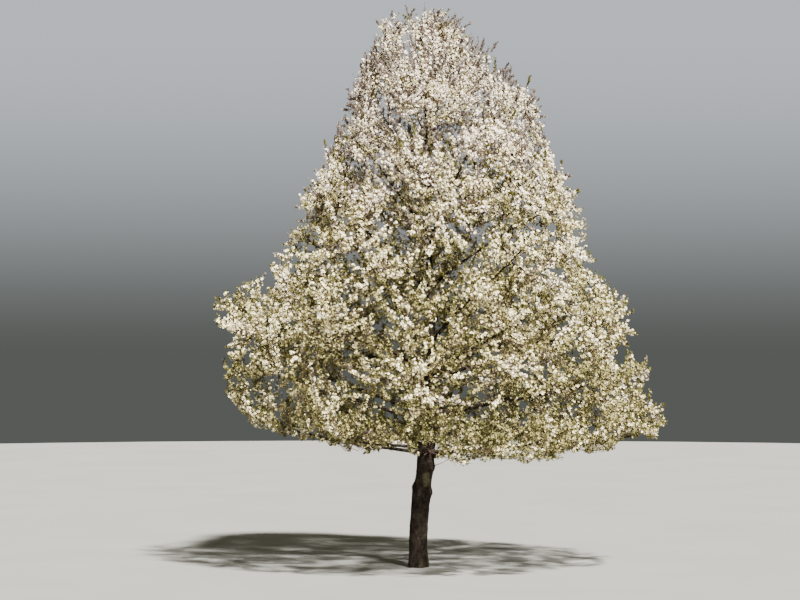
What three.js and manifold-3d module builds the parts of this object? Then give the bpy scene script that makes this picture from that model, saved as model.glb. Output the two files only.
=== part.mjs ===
// A wild cherry tree in full blossom, 11 m tall, with a straight central leader and whorled limbs.
// Millimetres, +Z up, +X to the right of the view from the front. The origin is the centre of the
// flat cut under the trunk, at ground level.
//
// The trunk runs whole from the ground to the leader. Limbs leave it in whorls. Those of the two
// lowest whorls begin as bare boughs, and every limb ends in its own mass of blossom: one stem,
// shoots that branch from it by a seeded rule, and plumes of blossom round the stem and shoots.

import * as THREE from "three";
import { mergeVertices } from "three/addons/utils/BufferGeometryUtils.js";
import Module from "manifold-3d";

const wasm = await Module();
wasm.setup();

// Trunk
const TRUNK_TOP = 9900; // the trunk's tip, where the leader's stem goes on
const TRUNK_SIDES = 15;
const TRUNK_RINGS = 18;
const LEAN = 250; // sideways lean that the trunk takes up by LEAN_END
const LEAN_START = 400;
const LEAN_END = 3000;
const DRIFT = 120; // how far the leader drifts back above DRIFT_START
const DRIFT_START = 4000;
const DRIFT_END = 11000;
const SWAY = 40; // slow sway towards and away from the front
const SWAY_LENGTH = 7000;
const ROOT_LOBES = 5; // buttresses of the root flare
const ROOT_LOBE_DEPTH = 26;
const ROOT_FLARE_HEIGHT = 420;
const TRUNK_GIRTH = [
  // height, radius
  [0, 200],
  [330, 183],
  [1080, 176],
  [2050, 166],
  [2500, 136],
  [4000, 94],
  [6000, 64],
  [8000, 40],
  [9900, 17],
];

// Crown outline: height, reach to the left (-X), reach to the right (+X)
const OUTLINE = [
  [2260, 1900, 2900],
  [2480, 2150, 3950],
  [2700, 2500, 4550],
  [2950, 3600, 4750],
  [3300, 3950, 4500],
  [3950, 4100, 4400],
  [4500, 4050, 4050],
  [5150, 4450, 4000],
  [5700, 3400, 3500],
  [6500, 2800, 3150],
  [7300, 2500, 3050],
  [8400, 2000, 2450],
  [9150, 1700, 2300],
  [9800, 1350, 1600],
  [10400, 1150, 1150],
  [10850, 850, 700],
  [11060, 100, 100],
];
const CROWN_FLOOR = OUTLINE[0][0];
const CROWN_TOP = OUTLINE[OUTLINE.length - 1][0];

// Whorls of limbs, from the lowest up. root and tip are heights, turn is the first limb's azimuth
// in degrees from +X, girth is the radius at the root, rise is the slope in degrees where a limb
// leaves the trunk, and bare is the share of it below its mass.
const WHORLS = [
  { root: 2290, tip: 2860, count: 6, turn: 0, girth: 38, rise: 8, bare: 0.26, bough: true },
  { root: 2900, tip: 4000, count: 6, turn: 30, girth: 46, rise: 18, bare: 0.26, bough: true },
  { root: 3650, tip: 4960, count: 6, turn: 0, girth: 44, rise: 26, bare: 0.12, bough: false },
  { root: 4500, tip: 6350, count: 5, turn: 20, girth: 38, rise: 34, bare: 0.12, bough: false },
  { root: 5450, tip: 7450, count: 5, turn: 56, girth: 32, rise: 40, bare: 0.12, bough: false },
  { root: 6450, tip: 8500, count: 4, turn: 30, girth: 26, rise: 47, bare: 0.12, bough: false },
  { root: 7450, tip: 9400, count: 4, turn: 0, girth: 21, rise: 54, bare: 0.12, bough: false },
  { root: 8550, tip: 10480, count: 3, turn: 60, girth: 16, rise: 62, bare: 0.12, bough: false },
];
const AZIMUTH_JITTER = 6; // degrees either way
const HEIGHT_JITTER = 110; // millimetres either way, at a limb's root and tip
const LEFT_LIFT = 260; // how much higher the tips stand on the left
const TIP_UPTURN = 0.14; // of the limb's length, how far its last third turns up
const ARCH_START = 0.36; // of the limb's reach, how far it keeps its first slope
const ARCH_END = 0.28; // of the limb's reach, how far its last part keeps the tip's slope
const LIMB_WOBBLE = 0.03; // of the limb's length, sideways
const LIMB_TAPER = 0.75; // share of the root's radius that is gone where the last plume begins
const LEADER = { bare: 0, girth: 17, bough: false };

// Shoots spread evenly over the crown: how many, how deep inside the outline as a share of the
// reach, and the heights between which they end
const SHELLS = [
  { count: 124, depth: 1, low: CROWN_FLOOR, high: CROWN_TOP, base: 0.35 },
  { count: 32, depth: 0.6, low: 2700, high: 9600, base: 1 },
];
const GOLDEN_TURN = 137.508; // degrees from one shoot to the next round the trunk
const SHOOT_SETBACK = 0.75; // how far towards the trunk a shoot is rooted, as a share of its length
const SHOOT_SAG = 0.16; // how far its middle hangs below its chord, as a share of its length
const SHORTEST_SHOOT = 330;
const LONGEST_SHOOT = 2300;
const SHOOT_RADIUS = 9; // at the root, and more for longer ones
const SHOOT_RADIUS_PER_LENGTH = 0.006;
const SHOOT_TAPER = 0.3; // share of the root's radius that is gone where the plume begins
const ROOT_CLEARANCE = 0.02; // of the limb's length, between its mass's start and the first shoot

// Plumes of blossom
const PLUME_LENGTH = 880;
const PLUME_HALF_WIDTH = 220;
const PLUME_JITTER = 0.22; // share of the half width
const PLUME_WAIST = 0.45; // where a plume is widest, from its root
const LONGEST_SHARE = 0.8; // a plume covers no more of its shoot, or is no longer than this share of it
const LEAST_WIDTH = 0.4; // of the full half width, for the shortest plumes
const SIDE_PLUMES = [
  { place: 0.66, least: 0 },
  { place: 0.38, least: 800 },
]; // place along the shoot, and how long the shoot has to be
const STEM_PLUMES = [0.5, 0.66, 0.82]; // places along a limb
const SIDE_PLUME_LENGTH = 780;
const SIDE_PLUME_SUNK = 6; // behind the axis of the wood that bears it
const SIDE_PLUME_ANGLE = 58; // degrees from the shoot
const SIDE_PLUME_LIFT = 0.25; // how much it leans up
const SIDE_PLUME_SPREAD = 0.4; // how much it may lean out of the plane of the others
const SMALLER = [1, 0.7, 0.45]; // sizes tried where a plume would touch a neighbour or leave the crown

const GAP = 0.35; // between solids that meet
const WELD = 0.2; // details finer than this are evened out where plumes join
const BOUGH_SIDES = 6;
const STEM_SIDES = 4;
const SHOOT_SIDES = 4;
const BOUGH_STEPS = 4;
const STEM_STEP_LENGTH = 700;
const PATH_POINTS = 11; // points of the line by which a limb claims its space

const UP = new THREE.Vector3(0, 0, 1);
const rad = THREE.MathUtils.degToRad;
const mix = THREE.MathUtils.lerp;

// A number from 0 to 1 that depends only on its keys, so that each shoot keeps its shape whatever
// happens to the others.
function chance(...keys) {
  const primes = [0x9e3779b1, 0x85ebca77, 0xc2b2ae3d, 0x27d4eb2f];
  let h = 0x5eed1e55;
  keys.forEach((key, i) => {
    h ^= Math.imul(key + 1, primes[i]);
    h = Math.imul(h ^ (h >>> 15), 0x2c1b3c6d);
    h ^= h >>> 12;
  });
  h = Math.imul(h, 0x297a2d39);
  h ^= h >>> 15;
  return (h >>> 0) / 4294967296;
}

// The same, from -1 to 1.
const swing = (...keys) => 2 * chance(...keys) - 1;

function smoothstep(low, high, value) {
  const t = THREE.MathUtils.clamp((value - low) / (high - low), 0, 1);
  return t * t * (3 - 2 * t);
}

// A column of a table of rows, whose first column is the height, read between its rows.
function readTable(rows, height, column) {
  const last = rows.length - 1;
  const clamped = THREE.MathUtils.clamp(height, rows[0][0], rows[last][0]);
  const i = Math.min(rows.findLastIndex((row) => row[0] <= clamped), last - 1);
  const share = (clamped - rows[i][0]) / (rows[i + 1][0] - rows[i][0]);
  return mix(rows[i][column], rows[i + 1][column], share);
}

// How far the crown reaches from the trunk's axis at a height, in the direction of an azimuth.
function crownReach(height, azimuth) {
  const toRight = (1 + Math.cos(azimuth)) / 2;
  return mix(readTable(OUTLINE, height, 1), readTable(OUTLINE, height, 2), toRight);
}

function trunkAxis(height) {
  const lean = LEAN * smoothstep(LEAN_START, LEAN_END, height);
  const drift = DRIFT * smoothstep(DRIFT_START, DRIFT_END, height);
  const sway = SWAY * Math.sin((2 * Math.PI * height) / SWAY_LENGTH);
  return new THREE.Vector3(lean - drift, sway, height);
}

const trunkRadius = (height) => readTable(TRUNK_GIRTH, height, 1);

// Whether a point lies inside the crown's outline.
function insideCrown(point) {
  const axis = trunkAxis(point.z);
  const reach = Math.hypot(point.x - axis.x, point.y - axis.y);
  const azimuth = Math.atan2(point.y - axis.y, point.x - axis.x);
  return point.z > CROWN_FLOOR && point.z < CROWN_TOP && reach < crownReach(point.z, azimuth);
}

// The point at a height and azimuth, so far from the trunk's axis.
function aroundTrunk(height, azimuth, reach) {
  return trunkAxis(height).add(new THREE.Vector3(Math.cos(azimuth) * reach, Math.sin(azimuth) * reach, 0));
}

// The line of a limb: it leaves the trunk's axis at a slope, arches out and turns up at its tip.
class LimbPath extends THREE.Curve {
  constructor(root, tip, rise, wobble) {
    super();
    const out = new THREE.Vector3(tip.x - root.x, tip.y - root.y, 0);
    const reach = out.length();
    const length = root.distanceTo(tip);
    out.normalize();
    const first = root.clone().addScaledVector(out, reach * ARCH_START);
    first.z += reach * ARCH_START * Math.tan(rad(rise));
    const second = tip.clone().addScaledVector(out, -reach * ARCH_END);
    second.z -= length * TIP_UPTURN;
    this.bezier = new THREE.CubicBezierCurve3(root, first, second, tip);
    this.side = new THREE.Vector3(-out.y, out.x, 0).multiplyScalar(length * LIMB_WOBBLE * wobble);
  }

  getPoint(t, target = new THREE.Vector3()) {
    this.bezier.getPoint(t, target);
    return target.addScaledVector(this.side, Math.sin(2 * Math.PI * t));
  }
}

// A stretch of the trunk's axis. Its sections are level, so that its cuts are too.
class AxisPath extends THREE.Curve {
  constructor(low, high) {
    super();
    this.heightAt = (t) => mix(low, high, t);
  }

  getPoint(t, target = new THREE.Vector3()) {
    return target.copy(trunkAxis(this.heightAt(t)));
  }

  getTangent() {
    return UP.clone();
  }
}

// Every limb, lowest whorl first and the leader last, with its path and its length.
function planLimbs() {
  const limbs = [];
  WHORLS.forEach((whorl, level) => {
    for (let k = 0; k < whorl.count; k += 1) {
      const index = limbs.length;
      const azimuth = rad(whorl.turn + (360 * k) / whorl.count + AZIMUTH_JITTER * swing(index, 1));
      const root = trunkAxis(whorl.root + HEIGHT_JITTER * swing(index, 2));
      const lift = (LEFT_LIFT * (1 - Math.cos(azimuth))) / 2;
      const tipHeight = whorl.tip + lift + HEIGHT_JITTER * swing(index, 3);
      const tip = aroundTrunk(tipHeight, azimuth, crownReach(tipHeight, azimuth));
      const path = new LimbPath(root, tip, whorl.rise, swing(index, 4));
      limbs.push({ ...whorl, index, path, name: `${level + 1}_${k + 1}` });
    }
  });
  limbs.push({ ...LEADER, index: limbs.length, path: new AxisPath(TRUNK_TOP, CROWN_TOP), name: "leader" });
  limbs.forEach((limb) => {
    limb.length = limb.path.getLength();
    limb.line = Array.from({ length: PATH_POINTS }, (_, i) => limb.path.getPoint(i / (PATH_POINTS - 1)));
  });
  return limbs;
}

// The nearest place of a limb to a point: how far off it is, and where along the limb, 0 to 1.
function nearestPlace(point, limb) {
  const segment = new THREE.Line3();
  const nearest = { distance: Infinity, place: 0 };
  for (let i = 1; i < limb.line.length; i += 1) {
    segment.set(limb.line[i - 1], limb.line[i]);
    const share = segment.closestPointToPointParameter(point, true);
    const distance = segment.at(share, new THREE.Vector3()).distanceTo(point);
    if (distance < nearest.distance) {
      nearest.distance = distance;
      nearest.place = (i - 1 + share) / (limb.line.length - 1);
    }
  }
  return nearest;
}

// The limb in whose space a point lies: the nearest one.
function ownerOf(point, limbs) {
  const distances = limbs.map((limb) => nearestPlace(point, limb).distance);
  return limbs[distances.indexOf(Math.min(...distances))];
}

// Points spread evenly over a shell of the crown, from its base up, a golden turn apart.
function shellPoints(shell) {
  const rows = [[shell.low, shell.base]];
  const steps = 80;
  for (let i = 0; i <= steps; i += 1) rows.push([mix(shell.low, shell.high, i / steps), 1]);
  const mean = (height) => (readTable(OUTLINE, height, 1) + readTable(OUTLINE, height, 2)) / 2;
  const girth = ([height, share]) => share * mean(height);
  const areas = [0];
  for (let i = 1; i < rows.length; i += 1) {
    const slant = Math.hypot(rows[i][0] - rows[i - 1][0], girth(rows[i]) - girth(rows[i - 1]));
    areas.push(areas[i - 1] + slant * (girth(rows[i]) + girth(rows[i - 1])));
  }
  return Array.from({ length: shell.count }, (_, k) => {
    const area = ((k + 0.5) / shell.count) * areas[areas.length - 1];
    const i = Math.max(1, areas.findIndex((value) => value >= area));
    const share = (area - areas[i - 1]) / (areas[i] - areas[i - 1]);
    const height = mix(rows[i - 1][0], rows[i][0], share);
    const azimuth = rad(GOLDEN_TURN * k);
    const reach = crownReach(height, azimuth) * shell.depth * mix(rows[i - 1][1], rows[i][1], share);
    return aroundTrunk(height, azimuth, reach);
  });
}

// The shoots of every limb: each ends at a point of a shell, and belongs to the nearest limb.
function planShoots(limbs) {
  const shoots = limbs.map(() => []);
  SHELLS.flatMap(shellPoints).forEach((tip, index) => {
    const limb = ownerOf(tip, limbs);
    const { distance, place } = nearestPlace(tip, limb);
    if (distance < SHORTEST_SHOOT || distance > LONGEST_SHOOT) return;
    const setback = (SHOOT_SETBACK * distance) / limb.length;
    const rootPlace = Math.max(place - setback, limb.bare + ROOT_CLEARANCE);
    const root = limb.path.getPoint(rootPlace);
    const length = root.distanceTo(tip);
    const middle = root.clone().lerp(tip, 0.5).addScaledVector(UP, -SHOOT_SAG * length);
    const curve = new THREE.QuadraticBezierCurve3(root, middle, tip);
    const radius = SHOOT_RADIUS + SHOOT_RADIUS_PER_LENGTH * length;
    shoots[limb.index].push({ index, curve, length, radius });
  });
  return shoots;
}

// Solids

// Directions across a curve at t that do not turn about it along its way.
function sectionAt(curve, t) {
  const along = curve.getTangent(t);
  const chord = curve.getPoint(1).sub(curve.getPoint(0)).normalize();
  const reference = Math.abs(chord.z) > 0.9 ? new THREE.Vector3(0, 1, 0) : UP;
  const side = new THREE.Vector3().crossVectors(chord, reference);
  side.addScaledVector(along, -side.dot(along)).normalize();
  return { along, side, up: new THREE.Vector3().crossVectors(side, along) };
}

// A closed solid round a curve. Each ring is [place along the curve, radius], and a last radius
// of 0 makes it pointed. lobe makes the sections other than round.
function sweptGeometry(curve, rings, sides, roll = 0, lobe = () => 1) {
  const last = rings.length - 1;
  const geometry = new THREE.CylinderGeometry(rings[last][1] === 0 ? 0 : 1, 1, 1, sides, last);
  const positions = geometry.getAttribute("position");
  for (let i = 0; i < positions.count; i += 1) {
    const [t, ringRadius] = rings[Math.round((positions.getY(i) + 0.5) * last)];
    const onAxis = Math.hypot(positions.getX(i), positions.getZ(i)) < 1e-6;
    const angle = Math.atan2(positions.getZ(i), positions.getX(i)) + roll;
    const radius = onAxis ? 0 : ringRadius * lobe(t, angle);
    const { side, up } = sectionAt(curve, t);
    const point = curve.getPoint(t);
    point.addScaledVector(side, Math.cos(angle) * radius).addScaledVector(up, Math.sin(angle) * radius);
    positions.setXYZ(i, point.x, point.y, point.z);
  }
  return geometry;
}

function toSolid(geometry) {
  const plain = geometry.clone();
  plain.deleteAttribute("normal");
  plain.deleteAttribute("uv");
  const merged = mergeVertices(plain, 1e-3);
  return new wasm.Manifold(new wasm.Mesh({
    numProp: 3,
    vertProperties: new Float32Array(merged.getAttribute("position").array),
    triVerts: new Uint32Array(merged.index.array),
  }));
}

// The largest piece of a solid, without loose scraps or sealed hollows.
function largestPiece(solid) {
  return solid.decompose().reduce((a, b) => (b.volume() > a.volume() ? b : a));
}

function toGeometry(solid) {
  const mesh = solid.getMesh();
  const geometry = new THREE.BufferGeometry();
  geometry.setAttribute("position", new THREE.BufferAttribute(mesh.vertProperties, 3));
  geometry.setIndex(new THREE.BufferAttribute(mesh.triVerts, 1));
  geometry.computeVertexNormals();
  return geometry;
}

// The trunk, with its lean, taper and lobed root flare, grown by an allowance.
function trunkSolid(allowance) {
  const rings = Array.from({ length: TRUNK_RINGS + 1 }, (_, i) => {
    const t = (i / TRUNK_RINGS) ** 2; // closer together near the ground
    return [t, trunkRadius(t * TRUNK_TOP) + allowance];
  });
  const lobe = (t, angle) => {
    const flare = 1 - smoothstep(0, ROOT_FLARE_HEIGHT, t * TRUNK_TOP);
    return 1 + (flare * ROOT_LOBE_DEPTH * Math.cos(ROOT_LOBES * angle)) / TRUNK_GIRTH[0][1];
  };
  return toSolid(sweptGeometry(new AxisPath(0, TRUNK_TOP), rings, TRUNK_SIDES, 0, lobe));
}

const boxesMeet = (a, b) => [0, 1, 2].every((i) => a.min[i] <= b.max[i] && b.min[i] <= a.max[i]);

// Whether a solid overlaps any of the others.
function meetsAny(solid, others) {
  const box = solid.boundingBox();
  return others.some((other) => boxesMeet(box, other.boundingBox()) && !solid.intersect(other).isEmpty());
}

// A limb's radius at a place along it, before its last plume.
const limbRadius = (limb, t) => limb.girth * (1 - LIMB_TAPER * t);

// How long the plume is that ends a curve of some length.
const plumeLength = (length) => Math.min(PLUME_LENGTH, LONGEST_SHARE * length);

// The half width of a plume of some length, where the longest of its kind is known.
function plumeHalfWidth(length, longest, ...keys) {
  const jitter = 1 + PLUME_JITTER * swing(...keys, 7);
  return PLUME_HALF_WIDTH * jitter * mix(LEAST_WIDTH, 1, length / longest);
}

// The rings of a plume that ends a curve: its waist and its pointed tip.
function plumeRings(length, halfWidth) {
  return [[1 - ((1 - PLUME_WAIST) * plumeLength(length)) / length, halfWidth], [1, 0]];
}

// The stem of a limb's mass, which ends in a plume.
function stemSolid(limb, trunk) {
  const start = limb.bough || limb.name === "leader" ? limb.bare + GAP / limb.length : 0;
  const neck = 1 - PLUME_LENGTH / limb.length;
  const steps = Math.max(1, Math.round((limb.length * (neck - start)) / STEM_STEP_LENGTH));
  const rings = Array.from({ length: steps + 1 }, (_, i) => {
    const t = mix(start, neck, i / steps);
    return [t, limbRadius(limb, t)];
  });
  rings.push(...plumeRings(limb.length, plumeHalfWidth(PLUME_LENGTH, PLUME_LENGTH, limb.index)));
  const stem = toSolid(sweptGeometry(limb.path, rings, STEM_SIDES));
  return start === 0 ? largestPiece(stem.subtract(trunk)) : stem;
}

// A shoot with the plume round its outer part, whose width is scaled by size.
function shootSolid(shoot, size) {
  const plume = plumeLength(shoot.length);
  const neck = 1 - plume / shoot.length;
  const rings = [[0, shoot.radius], [neck, (1 - SHOOT_TAPER) * shoot.radius]];
  if (neck > 0.5) rings.splice(1, 0, [neck / 2, (1 - SHOOT_TAPER / 2) * shoot.radius]);
  rings.push(...plumeRings(shoot.length, size * plumeHalfWidth(plume, PLUME_LENGTH, shoot.index, 1)));
  return toSolid(sweptGeometry(shoot.curve, rings, SHOOT_SIDES, Math.PI * chance(shoot.index, 8)));
}

// A plume to the side of a curve, rooted in it. It is undefined where the plume would leave the crown.
function sidePlumeSolid(curve, place, hand, longest, size, ...keys) {
  const { along, side, up } = sectionAt(curve, place);
  const direction = along.multiplyScalar(Math.cos(rad(SIDE_PLUME_ANGLE)))
    .addScaledVector(side, hand * Math.sin(rad(SIDE_PLUME_ANGLE)))
    .addScaledVector(up, SIDE_PLUME_SPREAD * swing(...keys, 9))
    .addScaledVector(UP, SIDE_PLUME_LIFT)
    .normalize();
  const length = longest * size;
  const root = curve.getPoint(place).addScaledVector(direction, -SIDE_PLUME_SUNK);
  const tip = root.clone().addScaledVector(direction, length);
  if (!insideCrown(tip)) return undefined;
  const halfWidth = plumeHalfWidth(length, SIDE_PLUME_LENGTH, ...keys);
  const rings = [[0, SIDE_PLUME_SUNK], [PLUME_WAIST, halfWidth], [1, 0]];
  const roll = Math.PI * chance(...keys, 8);
  return toSolid(sweptGeometry(new THREE.LineCurve3(root, tip), rings, SHOOT_SIDES, roll));
}

// The first of the sizes at which a solid touches none of its neighbours, or undefined.
function firstThatFits(makeSolid, obstacles) {
  for (const size of SMALLER) {
    const solid = makeSolid(size);
    if (solid && !meetsAny(solid, obstacles)) return solid;
  }
  return undefined;
}

// The mass at the end of a limb: its stem, its shoots and their plumes joined into one solid.
function massSolid(limb, stem, shoots, obstacles) {
  const parts = [stem];
  const addIfFits = (makeSolid) => {
    const solid = firstThatFits(makeSolid, obstacles);
    if (solid) parts.push(solid);
    return solid;
  };
  STEM_PLUMES.forEach((place, n) => {
    const hand = (limb.index + n) % 2 ? 1 : -1;
    addIfFits((size) => sidePlumeSolid(limb.path, place, hand, SIDE_PLUME_LENGTH, size, limb.index, n, 3));
  });
  shoots.forEach((shoot) => {
    if (!addIfFits((size) => shootSolid(shoot, size))) return;
    SIDE_PLUMES.filter((plume) => shoot.length > plume.least).forEach((plume, n) => {
      const hand = (shoot.index + n) % 2 ? 1 : -1;
      const longest = Math.min(SIDE_PLUME_LENGTH, LONGEST_SHARE * shoot.length);
      addIfFits((size) => sidePlumeSolid(shoot.curve, plume.place, hand, longest, size, shoot.index, n, 4));
    });
  });
  return largestPiece(wasm.Manifold.union(parts)).asOriginal().simplify(WELD);
}

const bark = new THREE.MeshStandardMaterial({ color: 0x3b2f2a, roughness: 0.9, metalness: 0 });
const blossom = new THREE.MeshStandardMaterial({ color: 0xf2efe8, roughness: 0.7, metalness: 0 });

function named(name, solid, material) {
  const mesh = new THREE.Mesh(toGeometry(solid), material);
  mesh.name = name;
  return mesh;
}

function buildTree() {
  const tree = new THREE.Group();
  const limbs = planLimbs();
  const shoots = planShoots(limbs);
  tree.add(named("trunk", trunkSolid(0), bark));
  const trunk = trunkSolid(GAP);
  const boughs = limbs.filter((limb) => limb.bough).map((limb) => {
    const rings = Array.from({ length: BOUGH_STEPS + 1 }, (_, i) => {
      const t = (limb.bare * i) / BOUGH_STEPS;
      return [t, limbRadius(limb, t)];
    });
    const solid = largestPiece(toSolid(sweptGeometry(limb.path, rings, BOUGH_SIDES)).subtract(trunk));
    tree.add(named(`bough_${limb.name}`, solid, bark));
    return solid;
  });
  const stems = limbs.map((limb) => stemSolid(limb, trunk));
  const masses = [];
  limbs.forEach((limb) => {
    const otherStems = stems.filter((_, index) => index !== limb.index);
    const obstacles = [trunk, ...boughs, ...otherStems, ...masses];
    const solid = massSolid(limb, stems[limb.index], shoots[limb.index], obstacles);
    masses.push(solid);
    tree.add(named(`blossom_${limb.name}`, solid, blossom));
  });
  return tree;
}

export default buildTree();
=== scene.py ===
"""A wild cherry in full white blossom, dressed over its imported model.

The limbs, shoots and sprays grow by the same seeded rule as the solids and from the same sizes, in
millimetres, and are carried on to finer twigs, flowers and young leaves inside the same reach.
Everything that is made here is in metres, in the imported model's own frame.
"""

import logging
import math
from dataclasses import dataclass, field
from enum import Enum

import bpy
import numpy as np
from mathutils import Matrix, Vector


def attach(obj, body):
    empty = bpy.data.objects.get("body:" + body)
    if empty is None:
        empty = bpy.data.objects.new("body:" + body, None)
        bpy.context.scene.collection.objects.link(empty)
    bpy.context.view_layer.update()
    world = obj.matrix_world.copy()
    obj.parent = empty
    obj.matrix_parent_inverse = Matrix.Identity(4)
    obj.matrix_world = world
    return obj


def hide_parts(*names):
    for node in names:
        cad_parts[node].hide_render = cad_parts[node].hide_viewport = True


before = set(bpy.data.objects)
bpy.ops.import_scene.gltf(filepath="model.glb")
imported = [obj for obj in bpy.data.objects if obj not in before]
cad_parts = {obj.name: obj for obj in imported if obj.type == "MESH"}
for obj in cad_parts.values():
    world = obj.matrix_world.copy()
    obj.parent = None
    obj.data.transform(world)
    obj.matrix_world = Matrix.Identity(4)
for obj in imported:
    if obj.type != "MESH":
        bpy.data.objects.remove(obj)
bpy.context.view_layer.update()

LOG = logging.getLogger("cherry")
METRE = 0.001  # one millimetre
UP = np.array([0.0, 0.0, 1.0])
GOLDEN_TURN = 137.508  # degrees between neighbours round an axis
WORD = 0xFFFFFFFF  # 32 bits
PIECE_LIMIT = 190_000  # triangles in one piece

# Short names of types
Array = np.ndarray
Tree = bpy.types.NodeTree
Output = bpy.types.NodeSocket
Piece = bpy.types.Object
Material = bpy.types.Material
Pair = tuple[float, float]
Triple = tuple[float, float, float]
Color = Triple
Place = Triple


# The seeded numbers


def chance(*keys: int) -> float:
    """Give the number from 0 to 1 that belongs to some keys, as the solids' rule does.

    Args:
        keys: Up to four whole numbers.

    Returns:
        The number.
    """
    h = 0x5EED1E55
    for key, prime in zip(keys, (0x9E3779B1, 0x85EBCA77, 0xC2B2AE3D, 0x27D4EB2F)):
        h ^= ((key + 1) * prime) & WORD
        h = ((h ^ (h >> 15)) * 0x2C1B3C6D) & WORD
        h ^= h >> 12
    h = (h * 0x297A2D39) & WORD
    h ^= h >> 15
    return h / 4294967296


def swing(*keys: int) -> float:
    """Give the same kind of number from -1 to 1."""
    return 2 * chance(*keys) - 1


def mix(a: float, b: float, share: float) -> float:
    """Give the value a share of the way from a to b."""
    return a + (b - a) * share


def smoothstep(low: float, high: float, value: Array | float) -> Array | float:
    """Rise smoothly from 0 at low to 1 at high."""
    t = np.clip((value - low) / (high - low), 0, 1)
    return t * t * (3 - 2 * t)


def climb(low: float, high: float, value: float) -> float:
    """Rise smoothly from 0 at low to 1 at high, for a single number."""
    return float(smoothstep(low, high, value))


def heading(azimuth: float) -> Array:
    """Give the level direction at an azimuth in radians."""
    return np.array([math.cos(azimuth), math.sin(azimuth), 0.0])


def unit(vector: Array) -> Array:
    """Give the vector, or each row of vectors, at length 1."""
    return vector / (np.linalg.norm(vector, axis=-1, keepdims=True) + 1e-12)


def value_noise(points: Array, seed: int) -> Array:
    """Give smooth noise at points, with cells one unit wide.

    Args:
        points: Places, one a row.
        seed: The noise's own number.

    Returns:
        A value from -1 to 1 for each place.
    """
    cell = np.floor(points).astype(np.int64)
    share = points - cell
    share = share * share * (3 - 2 * share)
    total = np.zeros(len(points))
    for corner in range(8):
        step = np.array([corner & 1, (corner >> 1) & 1, (corner >> 2) & 1])
        x, y, z = (cell + step).T
        h = (x * 374761393 + y * 668265263 + z * 2147483647 + seed * 974634777) & WORD
        h = ((h ^ (h >> 13)) * 1274126177) & WORD
        h ^= h >> 16
        weight = np.prod(np.where(step == 1, share, 1 - share), axis=1)
        total += weight * (h / 2147483648.0 - 1)
    return total


# The habit of the tree, shared with the solids


@dataclass(frozen=True)
class Whorl:
    """One whorl of limbs. Heights in millimetres, angles in degrees."""

    root: float
    tip: float
    count: int
    turn: float
    girth: float
    rise: float
    bare: float
    bough: bool


@dataclass(frozen=True)
class Shell:
    """Shoots that end evenly over a shell of the crown."""

    count: int
    depth: float
    low: float
    high: float
    base: float
    turn: float = 0.0  # of its first shoot, in degrees
    spire: float = 0.0  # how far its shoots rise above it
    ragged: float = 1  # how far its points may fall short, beside those of the other shells


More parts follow.
